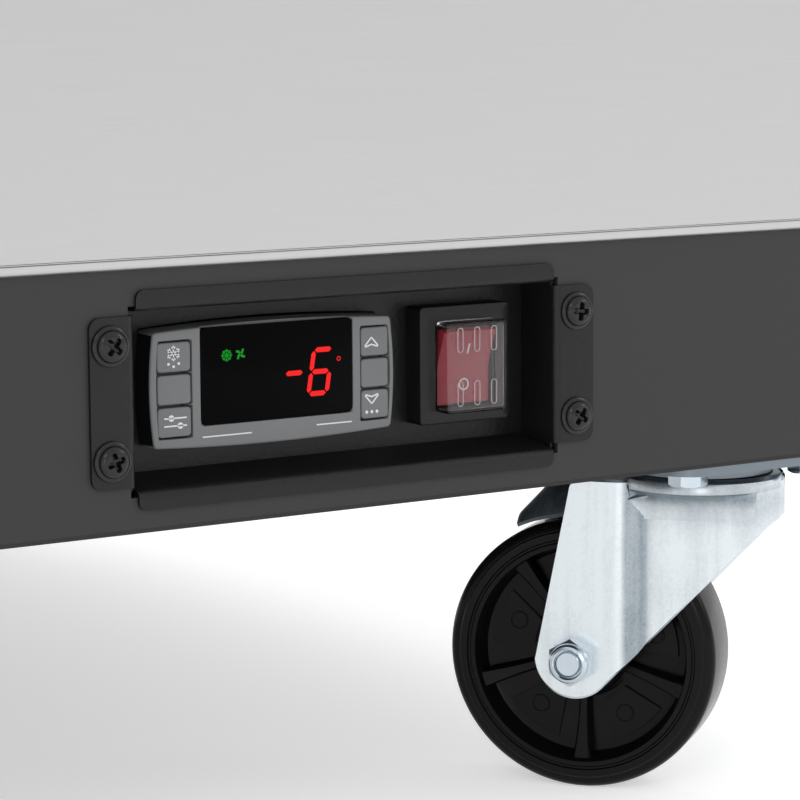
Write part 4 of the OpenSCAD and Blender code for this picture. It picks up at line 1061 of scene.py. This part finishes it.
def fork_side_loops():
    """Side sheet: at each u along the middle line, a closed strip from the lower to the upper
    edge, its faces moved FORK_T / 2 along the line's normal. The lower edge is a slope that ends
    in the circle round the axle; the upper one is the web, then a slope."""
    wrap = math.asin(GUSSET / REAR_R)
    rear = np.linspace(0, wrap, 10)[:-1]
    u = np.concatenate([-REAR_R * np.cos(rear), np.linspace(-REAR_R * math.cos(wrap), TRAIL, 40),
                        TRAIL + STRAP_R * np.sin(np.linspace(0, math.pi / 2, 16))[1:]])
    touch = math.atan(TAIL_SLOPE)
    touch_u, touch_z = TRAIL - STRAP_R * math.sin(touch), WHEEL_R - STRAP_R * math.cos(touch)
    tail_z = touch_z + (touch_u - u) * TAIL_SLOPE
    round_z = WHEEL_R - np.sqrt(np.maximum(STRAP_R ** 2 - (u - TRAIL) ** 2, 0))
    low = np.where(u < touch_u, np.minimum(tail_z, 93.0), round_z)
    lean = WHEEL_R + (TRAIL + STRAP_R - u) * (WEB_Z - WHEEL_R) / 10.5
    high = np.minimum(SHEET_TOP, np.maximum(lean, WHEEL_R))
    high = np.maximum(high, low + 0.02)
    v = side_line(u)
    along = np.stack([np.r_[u[1:], u[-1]] - np.r_[u[0], u[:-1]], np.r_[v[1:], v[-1]] - np.r_[v[0], v[:-1]]])
    along /= np.hypot(*along)
    tall = high - low
    r = np.minimum(0.7, tall / 2.1)
    z = np.column_stack([np.zeros(len(u)), np.linspace(r, tall - r, 12, axis=-1), tall]) + low[:, None]
    out = np.full(z.shape[1], FORK_T / 2)
    out[[0, -1]] -= 0.6
    out = np.concatenate([out, -out[::-1]])
    rows = np.stack([u[:, None] - along[1][:, None] * out, v[:, None] + along[0][:, None] * out,
                     np.hstack([z, z[:, ::-1]])], -1)
    # Painted shade: darker in the joggle band, along the bend near u = 13 and under the crown.
    band = smooth_step(u, 12.0, 14.5) * (1 - smooth_step(u, 18.5, 20.5))
    edge = np.exp(-((u - 13.0) / 1.4) ** 2)
    lift = np.exp(-((rows[..., 2] - 90) / 7.0) ** 2)
    tone = 0.95 - 0.6 * band[:, None] - 0.35 * edge[:, None] - 0.35 * lift * (u < 12)[:, None]
    return rows, tone


def crown_flare():
    """Drawn flare between the gusset and the crown: at each u, a quarter ellipse from the side
    sheet out to the crown's rim, and three points over the rim."""
    radius, z_rim = 25.5, 97.0
    u = 25.3 * np.sin(np.linspace(-math.pi / 2, math.radians(43), 40))[:, None]
    rim = np.maximum(np.sqrt(np.maximum(radius ** 2 - u * u, 0)), 0.01)
    side = np.minimum(side_line(u) + FORK_T / 2, rim)
    z_low = np.maximum(84.5, 86.5 - TAIL_SLOPE * (u + 19.0))
    t = np.linspace(0, math.pi / 2, 8)
    v = np.hstack([side + (rim - side) * (1 - np.cos(t)), rim, np.maximum(rim - 0.4, 0),
                   np.maximum(rim - 3.5, 0)])
    over = np.broadcast_to([z_rim - 1.0, z_rim, z_rim + 1.0], (len(u), 3))
    z = np.hstack([z_low + (z_rim - 3 - z_low) * np.sin(t), over])
    return np.stack([np.broadcast_to(u, v.shape), v, z], -1)


def hood_rows():
    """Hood: a web over the wheel that bends down in front. Across it, the height falls by the
    sixth power of the place, down to a circle round the wheel."""
    top_z, n = WEB_Z + 2.0, 25
    path = fillet([(-2.0, top_z), (TRAIL + 8.5, top_z), (TRAIL + 18.8, WEB_Z - 9.0)], 4.0, 6)
    path = np.vstack([path[:-1], np.linspace(path[-2], path[-1], 8)[1:]])
    u, z = path.T
    half = np.where(u < TRAIL + 1, HOOD_HALF, HOOD_HALF - (u - TRAIL - 1) * 0.2)
    across = np.sin(np.linspace(-math.pi / 2, math.pi / 2, n))
    edge = WHEEL_R + np.sqrt((WHEEL_R + 2.8) ** 2 - (u - TRAIL) ** 2)
    fall = np.where(u > TRAIL, np.maximum(z - edge, 0), 0)
    drop = fall[:, None] * np.abs(across) ** 6
    top = np.stack([np.repeat(u[:, None], n, 1), half[:, None] * across, z[:, None] - drop], -1)
    low = top * [1, 0.9, 1] - [0, 0, FORK_T / 2]
    return top, low


def make_fork(end, side):
    """Fork: two side sheets with their flares, the hood's two faces and its edges, and a turned
    crown. Painted shade is set on its points: along the bend and the joggle band, under the crown,
    on the hood's top and underside, and half shade on the crown."""
    node = f"fork_{end}_{side}"
    surface = Surface()
    loops, tone = fork_side_loops()
    flare = crown_flare()
    # Painted shade low on the flare, under the crown's rim.
    flare_painted_light = 0.75 - 0.45 * np.exp(-((flare[..., 2] - 92) / 2.5) ** 2)
    for way in (1, -1):
        surface.grid(loops * [1, way, 1], wrap_v=True, cap=True, tone=tone)
        surface.grid(flare * [1, way, 1], tone=flare_painted_light)
    top, low = hood_rows()
    # Painted shade on the hood's top, lifted to full brightness at its front bend and its side edges.
    front = smooth_step(top[..., 0], TRAIL + 17.5, TRAIL + 18.6)
    sides = smooth_step(np.abs(top[..., 1]) / HOOD_HALF, 0.93, 1.0)
    surface.grid(top, tone=0.15 + 0.85 * np.maximum(front, sides))
    # Painted shade on the hood's underside.
    surface.grid(low, tone=0.1)
    surface.grid([top[-1], low[-1]])
    for k in (0, -1):
        surface.grid([top[:, k], low[:, k]])
    # The crown takes painted half shade.
    crown = [(5.2, 97.7), (9, 98.0), (21.5, 98.0), (23.8, 97.7), (25.0, 97.0), (25.5, 95.9),
             (25.2, 94.9), (24.0, 94.2), (20.5, 94.0), (20.5, 94.8), (5.2, 94.8)]
    surface.grid(disc(crown, 72), wrap_u=True, wrap_v=True, tone=0.5)
    new_piece(surface, node + "_sheet", node, "zinc_drawn", "zinc_plate", [node],
              caster_place(end, side), sharp=38)


def caster_place(end, side):
    """Kingpin frame: +X the way the caster trails, +Z up, origin on the floor."""
    kingpin, _ = joint_place(f"swivel_{end}_{side}")
    axle, _ = joint_place(f"roll_{end}_{side}")
    d = (axle - kingpin)[:2]
    d = d / np.linalg.norm(d)
    turn = np.array([[d[0], -d[1], 0], [d[1], d[0], 0], [0, 0, 1.0]])
    return shift(kingpin[0], kingpin[1], 0, turn)


def wheel_profile():
    """Half section of the wheel as (radius, height): flat tread, round shoulder, a stepped rim
    with two ring lines, the web and the hub."""
    r, h = WHEEL_R, 12.0
    inset, shoulder_z = rolled(3.2, 0.4, 1, 7)[::-1].T
    shoulder = np.stack([r - inset, h - shoulder_z], -1)[1:].tolist()
    rim = [(r - 3.6, h), (r - 5.6, h), (r - 6.0, h - 0.5), (r - 6.5, h - 0.5), (r - 6.9, h - 0.05),
           (r - 8.2, h - 0.1), (r - 8.7, h - 1.2), (r - 9.3, h - 6.0), (r - 10.2, h - 7.4)]
    web = [(r - 13, h - 8.2), (14.5, h - 8.6), (13.6, h - 8.0), (13.2, h - 3.6), (12.4, h - 2.6),
           (10.6, h - 2.6), (10.0, h - 3.2), (9.6, h - 3.2), (9.4, h + 3.9), (4.05, h + 4.2)]
    return [(r, 0), (r, h - 3.6)] + shoulder + rim + web


def wheel_rib(way):
    """Rib along x: a six-point section whose half width grows by the square of the way out, and
    its height by the power of 1.5."""
    hub, rim = 12.6, WHEEL_R - 8.4
    r = np.linspace(hub, rim, 9)[:, None]
    f = (r - hub) / (rim - hub)
    half, top = 1.5 + 1.3 * f ** 2, 6.4 + 3.4 * f ** 1.5
    w = np.hstack([-half - 0.5, -half, -half + 0.6, half - 0.6, half, half + 0.5])
    foot = np.full_like(r, 3.4)
    y = np.hstack([foot, top - 0.7, top, top, top - 0.7, foot])
    return np.stack([np.repeat(r, 6, 1), way * y, w], -1)


def wheel_pad(way):
    """Flat pad between two ribs: rings of points about x, which leave a band of equal width free
    along each rib."""
    r = np.linspace(16.0, WHEEL_R - 12.5, 6)[:, None]
    t = np.linspace(-1, 1, 12) * (math.radians(25.5) - 3.4 / r)
    return np.stack([r * np.cos(t), np.full(t.shape, way * 4.6), r * np.sin(t)], -1)


def make_wheel(end, side):
    """Wheel: its section turned about the axle, with five ribs a side, and between each two a pad
    that carries a round mark."""
    node = f"wheel_{end}_{side}"
    profile = wheel_profile()
    full = profile + [(r, -z) for r, z in profile[::-1]]
    surface = Surface().grid(swap(disc(full, 144), (0, 2, 1)), wrap_u=True, wrap_v=True)
    dot = disc([(0.01, 4.75), (2.3, 4.75), (2.45, 5.0), (2.75, 5.0), (2.9, 4.5)], 24)
    for way in (-1, 1):
        for k in range(5):
            a = k * TAU / 5 + math.radians(54)
            surface.grid(spun(wheel_rib(way), a), wrap_v=True, cap=True)
            middle = a + TAU / 10
            pad = spun(wheel_pad(way), middle)
            rim = around(pad)
            surface.grid(pad)
            surface.grid([rim, rim * [1, 0, 1] + [0, way * 3.6, 0]], wrap_v=True)
            at = middle + 0.05
            mark = swap(dot, (0, 2, 1), (1, way, 1)) + [22.5 * math.cos(at), 0, 22.5 * math.sin(at)]
            surface.grid(mark, wrap_v=True)
    place = caster_place(end, side) @ shift(TRAIL, 0, WHEEL_R)
    new_piece(surface, node + "_tread", node, "wheel_black", "wheel_black", [node], place, sharp=34)


def hexagon(across, z0, z1, bevel=0.8, n=48):
    """Hex head: its radius is across / 2 over the cosine of the angle from the nearest flat's
    middle, and its top rim is cut back by a cone."""
    a = np.linspace(0, TAU, n, endpoint=False)
    flat = (across / 2) / np.cos((a + TAU / 12) % (TAU / 6) - TAU / 12)
    ring = across / 2 * 0.97
    cone = z1 - bevel * np.clip((flat - ring) / (across / math.sqrt(3) - ring), 0, 1)
    r = np.stack([flat, flat, np.full(n, ring), np.full(n, ring * 0.6)])
    z = np.stack([np.full(n, z0), cone, np.full(n, z1), np.full(n, z1)])
    return np.stack([r * np.cos(a), r * np.sin(a), z], -1)


def make_axle(end, side):
    """Axle bolt: hex head at one end, nut with its locking collar and the bolt's end at the other."""
    node = f"axle_{end}_{side}"
    out = STRAP + FORK_T / 2
    surface = Surface()
    nut = hexagon(12.6, 0.0, 5.2)
    collar = disc([(5.9, 4.6), (5.9, 6.3), (5.4, 6.9), (4.7, 7.1), (4.3, 6.7), (4.2, 5.0), (3.95, 5.0),
                   (3.9, 6.2), (3.4, 6.75), (0.02, 6.75)], 48)
    for rows in (nut, collar):
        surface.grid(swap(rows, (0, 2, 1)) + [0, out, 0], wrap_v=True, cap=rows is nut)
    head = hexagon(12.8, 0.0, 5.2)
    surface.grid(swap(head, (0, 2, 1), (1, -1, 1)) - [0, out, 0], wrap_v=True, cap=True)
    shank = disc([(3.98, -out - 0.5), (3.98, out + 5)], 32)
    surface.grid(swap(shank, (0, 2, 1)), wrap_v=True, cap=True)
    place = caster_place(end, side) @ shift(TRAIL, 0, WHEEL_R)
    new_piece(surface, node + "_bolt", f"fork_{end}_{side}", "bolt", "bolt_zinc", [node], place, sharp=30)


def make_plate_bolts():
    """Four bolts through each caster plate: a hex head below, a nut and the bolt's end above."""
    surface = Surface()
    head = hexagon(10.0, 0.0, 4.0, 0.6)
    shank = disc([(2.9, 101.0), (2.9, 114.0), (2.4, 114.8)], 20)
    for end in ENDS:
        for side in SIDES:
            kingpin, _ = joint_place(f"swivel_{end}_{side}")
            for x in (-BOLT_OUT, BOLT_OUT):
                for y in (-BOLT_OUT, BOLT_OUT):
                    spot = [kingpin[0] + x, kingpin[1] + y, 0]
                    for grid in (head * [1, 1, -1] + [0, 0, 101.8], head + [0, 0, 106.3], shank):
                        surface.grid(grid + spot, wrap_v=True, cap=True)
    new_piece(surface, "plate_bolts", "cabinet", "bolt", "bolt_zinc", ["caster_bolts"], sharp=30)


# ---------- handle, lock, baskets ----------

def make_handle():
    """Grip: a hook-shaped section carried across the handle, shrunk at both ends, with two
    blocks behind it."""
    lo, hi = corners("lid_handle")
    half = (hi - lo)[1:] / 2
    centre = (hi + lo)[1:] / 2
    half_d, half_z = half
    hook = fillet([(half_d - 1.5, -half_z + 2), (half_d - 1.5, half_z - 2.5), (-half_d + 2.5, half_z - 2.5),
                   (-half_d + 2.5, -half_z + 2.2)], 6.0, 8)
    outline = np.clip(thicken(hook, 4.4), -half, half)
    ends = [(0.0, 3.0), (0.4, 1.4), (1.4, 0.4), (3.0, 0.0)]
    stations = [(lo[0] + x, inset) for x, inset in ends] + [(hi[0] - x, inset) for x, inset in ends[::-1]]
    rows = [np.column_stack([np.full(len(outline), x), outline * (1 - inset / half) + centre])
            for x, inset in stations]
    surface = Surface().grid(rows, wrap_v=True, cap=True)
    for x in (lo[0] + 2.5, hi[0] - 2.5):
        block = slab(2.3, half_d - 2.5, 1.5, lo[2] + 2, hi[2] - 3, 0.5, 0.5)
        surface.grid(block + [x, centre[0], 0], wrap_v=True, cap=True)
    new_piece(surface, "lid_grip", "lid", "handle_black", "handle_black", ["lid_handle"], sharp=45)
    make_lock(lo[1])


def make_lock(front):
    """Lock: a turned barrel at the grip's front, a hook cam as a flat outline of arcs with an open
    slot, and a thin black plate on the barrel's face, painted shade for the keyhole."""
    pivot, _ = joint_place("lock_turn")
    _, cam_hi = corners("lock_cylinder")
    barrel = disc([(8.0, 14.0), (8.0, 0.6), (7.5, 0.2), (6.6, 0.2), (6.4, 0.6), (5.6, 0.6),
                   (5.4, 0.3), (3.6, 0.3), (0.02, 0.3)], 48)
    surface = Surface().grid(swap(barrel, (0, 2, 1)) + [0, front, 0], wrap_v=True)
    hub, hook_r, stud, foot = 9.0, 36.0, 3.3, -5.8
    cam = np.vstack([circle_line(0, 0, hub, 24, math.radians(62), TAU - 0.6),
                     [(hub, foot), (hook_r - stud, foot)],
                     circle_line(hook_r, 0, stud, 9, 0, math.pi)[::-1],
                     [(hook_r + stud, 0), (hook_r + stud, foot)],
                     circle_line(0, 0, hook_r + 7, 8, -0.14, 0.18),
                     [(hub, 8)]])
    faces = [swap(lifted(cam, y), (0, 2, 1)) for y in (cam_hi[1] - 3.0, cam_hi[1])]
    surface.grid(faces, wrap_v=True, cap=True)
    place = shift(pivot[0], 0, pivot[2])
    new_piece(surface, "lock_barrel", "lock", "bolt", "lock_metal", ["lock_cylinder"], place, sharp=35)
    # The keyway as a thin black plate: painted shade in place of the keyhole.
    key = standing(slab(0.7, 3.0, 0.6, 0, 0.25, 0, 0.1), (0, 0), (0, 0), front + 0.5)
    new_piece(Surface().grid(key, wrap_v=True, cap=True), "lock_keyway", "lock", "vent_black",
              "lock_metal", (), place)


def make_basket(side):
    """Basket of round welded wires: U-shaped hoops both ways, round frames, and rim rests."""
    node = "basket_" + side
    lo, hi = corners(node)
    x0, y0, z0 = lo + [2, 14, 1.5]
    x1, y1, z1 = hi - [2, 14, 2]
    thin, thick, rest_r = 1.4, 2.2, 2.0
    hoops = [[(x, y0, z1), (x, y0, z0 + 3), (x, y1, z0 + 3), (x, y1, z1)] for x in np.linspace(x0, x1, 13)]
    hoops += [[(x0, y, z1), (x0, y, z0), (x1, y, z0), (x1, y, z1)]
              for y in np.linspace(y0 + 1, y1 - 1, 19)[1:-1]]
    surface = Surface()
    for hoop in hoops:
        surface.grid(tube(fillet(hoop, 12, 6), thin, 8), wrap_v=True, cap=True)
    frame_loop = rect_loop((x1 - x0) / 2, (y1 - y0) / 2, 12, 6) + [(x0 + x1) / 2, (y0 + y1) / 2]
    for z, r in ((z1, thick), (z1 - 60, thin), (z1 - 120, thin)):
        surface.grid(tube(lifted(frame_loop, z), r, 8, closed=True), wrap_u=True, wrap_v=True)
    for y, edge in ((y0, lo[1] + 2.2), (y1, hi[1] - 2.2)):
        rest = [(x0 + 14, y, z1), (x0 + 14, edge, z1), (x1 - 14, edge, z1), (x1 - 14, y, z1)]
        surface.grid(tube(fillet(rest, 6, 6), rest_r, 10), wrap_v=True, cap=True)
    new_piece(surface, node + "_wires", node, "wire_white", "basket_wire", [node], sharp=60)

LIGHTS = (("key", (-2.6, -3.4, 3.0), 1.2, 24), ("fill", (3.2, -2.4, 1.6), 1.0, 8),
          ("back", (1.0, 3.8, 3.2), 2.6, 20), ("low", (-1.6, -3.0, 0.35), 0.5, 4))


def make_plug():
    """Drain plug: turned rubber with a grip knob."""
    lo, hi = corners("drain_plug")
    cx, cy = (lo[0] + hi[0]) / 2, (lo[1] + hi[1]) / 2
    top, r = hi[2], (hi[0] - lo[0]) / 2
    base = lo[2] + 12
    profile = [(0.02, lo[2]), (8.6, lo[2]), (9.5, lo[2] + 1.5), (9.9, base), (r - 0.5, base),
               (r, base + 1), (r - 0.4, base + 2.4), (r - 2, base + 3), (5.5, base + 3.4),
               (4.0, base + 6), (4.0, base + 10), (5.2, top - 3), (5.0, top - 1), (3.4, top), (0.02, top)]
    surface = Surface().grid(disc(profile, 40) + [cx, cy, 0], wrap_v=True)
    new_piece(surface, "plug_rubber", "drain_plug", "rubber_black", "feet_rubber", ["drain_plug"])


# ---------- stage ----------

def make_stage():
    """Floor: a wide disc under the freezer. World: even white. Lights: round lamps, each given by
    name, place, size and power, aimed at the kick panel."""
    scene = bpy.context.scene
    floor = Surface().grid(disc([(0.02, 0), (400, 0), (2000, 0), (60000, 0)], 64), wrap_v=True)
    mesh = bpy.data.meshes.new("studio_floor")
    mesh.from_pydata((np.vstack(floor.points) * MM).tolist(), [], floor.faces)
    thing = bpy.data.objects.new("studio_floor", mesh)
    scene.collection.objects.link(thing)
    paint = Paint("floor_white", roughness=0.9, emission_color=(1, 1, 1, 1), emission_strength=0.5)
    speck = paint.noise(2.0, 3.0)
    paint.set(base_color=paint.mix(speck, (0.78, 0.78, 0.78), (0.82, 0.82, 0.82)))
    mesh.materials.append(paint.material)
    scene.world = bpy.data.worlds.new("studio")
    scene.world.use_nodes = True
    back = scene.world.node_tree.nodes["Background"]
    back.inputs["Color"].default_value = (1, 1, 1, 1)
    back.inputs["Strength"].default_value = 0.95
    for name, place, size, power in LIGHTS:
        data = bpy.data.lights.new(name, "AREA")
        data.shape, data.size, data.energy = "DISK", size, power
        lamp = bpy.data.objects.new(name, data)
        lamp.location = place
        aim = Vector((0.2, 0, 0.35)) - Vector(place)
        lamp.rotation_euler = aim.to_track_quat("-Z", "Y").to_euler()
        scene.collection.objects.link(lamp)
    scene.view_settings.view_transform = "Standard"


def make_camera():
    """Camera: its axes are heading and pitch as sines and cosines, then turned by the roll; its
    place is given from the controller."""
    scene = bpy.context.scene
    sizes = scene.freezer_sizes
    yaw, pitch, roll = (math.radians(v) for v in sizes.camera_turn)
    ahead = np.array([math.sin(yaw), math.cos(yaw), 0])
    level = np.array([math.cos(yaw), -math.sin(yaw), 0])
    up = np.array([0, 0, 1.0])
    look = ahead * math.cos(pitch) - up * math.sin(pitch)
    over = up * math.cos(pitch) + ahead * math.sin(pitch)
    right = level * math.cos(roll) + over * math.sin(roll)
    over = over * math.cos(roll) - level * math.sin(roll)
    data = bpy.data.cameras.new("camera")
    data.lens, data.sensor_width = sizes.lens, 36.0
    data.clip_start, data.clip_end = 0.05, 100.0
    camera = bpy.data.objects.new("camera", data)
    place = Matrix.Identity(4)
    for k, axis in enumerate((right, over, -look)):
        place.col[k].xyz = axis.tolist()
    place.translation = ((CONTROL + np.array(sizes.camera_away)) * MM).tolist()
    camera.matrix_world = place
    scene.collection.objects.link(camera)
    scene.camera = camera


# ---------- operators ----------


def make_casters():
    """Forks, wheels and axles at the four corners, then the bolts of all plates."""
    for end in ENDS:
        for side in SIDES:
            make_fork(end, side)
            make_wheel(end, side)
            make_axle(end, side)
    make_plate_bolts()


def make_baskets():
    """The two baskets."""
    for side in SIDES:
        make_basket(side)


class FREEZER_OT_materials(bpy.types.Operator):
    """Makes every material."""
    bl_idname = "freezer.materials"
    bl_label = "Materials"

    def execute(self, context):
        make_materials()
        return {"FINISHED"}


class FREEZER_OT_kept(bpy.types.Operator):
    """Gives the frame's own nodes their finish."""
    bl_idname = "freezer.kept"
    bl_label = "Kept nodes"

    def execute(self, context):
        finish_kept_nodes()
        return {"FINISHED"}


class FREEZER_OT_stage(bpy.types.Operator):
    """Makes the floor, the world and the lights."""
    bl_idname = "freezer.stage"
    bl_label = "Stage"

    def execute(self, context):
        make_stage()
        return {"FINISHED"}


class FREEZER_OT_camera(bpy.types.Operator):
    """Sets the camera at the control recess."""
    bl_idname = "freezer.camera"
    bl_label = "Camera"

    def execute(self, context):
        make_camera()
        return {"FINISHED"}


class FREEZER_OT_skin(bpy.types.Operator):
    """Makes the brushed stainless front."""
    bl_idname = "freezer.skin"
    bl_label = "Front skin"

    def execute(self, context):
        make_skin()
        return {"FINISHED"}


class FREEZER_OT_lid(bpy.types.Operator):
    """Makes the lid shell and its gasket."""
    bl_idname = "freezer.lid"
    bl_label = "Lid"

    def execute(self, context):
        make_lid()
        return {"FINISHED"}


class FREEZER_OT_recess(bpy.types.Operator):
    """Makes the folded recess and its screws."""
    bl_idname = "freezer.recess"
    bl_label = "Control recess"

    def execute(self, context):
        make_recess()
        return {"FINISHED"}


class FREEZER_OT_controller(bpy.types.Operator):
    """Makes the bezel, the keys and the display."""
    bl_idname = "freezer.controller"
    bl_label = "Controller"

    def execute(self, context):
        make_bezel()
        return {"FINISHED"}


class FREEZER_OT_switch(bpy.types.Operator):
    """Makes the frame, the rocker and the clear cover."""
    bl_idname = "freezer.switch"
    bl_label = "Rocker switch"

    def execute(self, context):
        make_switch()
        return {"FINISHED"}


class FREEZER_OT_casters(bpy.types.Operator):
    """Makes the forks, wheels, axles and plate bolts."""
    bl_idname = "freezer.casters"
    bl_label = "Casters"

    def execute(self, context):
        make_casters()
        return {"FINISHED"}


class FREEZER_OT_handle(bpy.types.Operator):
    """Makes the grip and the lock cylinder."""
    bl_idname = "freezer.handle"
    bl_label = "Handle and lock"

    def execute(self, context):
        make_handle()
        return {"FINISHED"}


class FREEZER_OT_baskets(bpy.types.Operator):
    """Makes the wire baskets."""
    bl_idname = "freezer.baskets"
    bl_label = "Baskets"

    def execute(self, context):
        make_baskets()
        return {"FINISHED"}


class FREEZER_OT_plug(bpy.types.Operator):
    """Makes the rubber drain plug."""
    bl_idname = "freezer.plug"
    bl_label = "Drain plug"

    def execute(self, context):
        make_plug()
        return {"FINISHED"}


OPERATORS = (
    FREEZER_OT_materials, FREEZER_OT_kept, FREEZER_OT_stage,
    FREEZER_OT_camera, FREEZER_OT_skin, FREEZER_OT_lid,
    FREEZER_OT_recess, FREEZER_OT_controller, FREEZER_OT_switch,
    FREEZER_OT_casters, FREEZER_OT_handle, FREEZER_OT_baskets,
    FREEZER_OT_plug)


class FREEZER_PT_panel(bpy.types.Panel):
    """Sizes and colours, and a button for each piece."""
    bl_label = "Chest Freezer"
    bl_space_type = "VIEW_3D"
    bl_region_type = "UI"
    bl_category = "Freezer"

    def draw(self, context):
        for group in (context.scene.freezer_sizes, context.scene.freezer_colours):
            for name in group.bl_rna.properties.keys():
                if name not in ("rna_type", "name"):
                    self.layout.prop(group, name)
        for made in OPERATORS:
            self.layout.operator(made.bl_idname)


CLASSES = [FreezerSizes, FreezerColours, *OPERATORS, FREEZER_PT_panel]


def register():
    """Registers the classes, and keeps the sizes and colours on the scene."""
    for made in CLASSES:
        bpy.utils.register_class(made)
    bpy.types.Scene.freezer_sizes = bpy.props.PointerProperty(type=FreezerSizes)
    bpy.types.Scene.freezer_colours = bpy.props.PointerProperty(type=FreezerColours)


def unregister():
    """Undoes register."""
    del bpy.types.Scene.freezer_sizes, bpy.types.Scene.freezer_colours
    for made in reversed(CLASSES):
        bpy.utils.unregister_class(made)


def main():
    """Registers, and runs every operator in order."""
    register()
    for made in OPERATORS:
        name = made.bl_idname.split(".")[1]
        getattr(bpy.ops.freezer, name)()


if __name__ == "__main__":
    main()
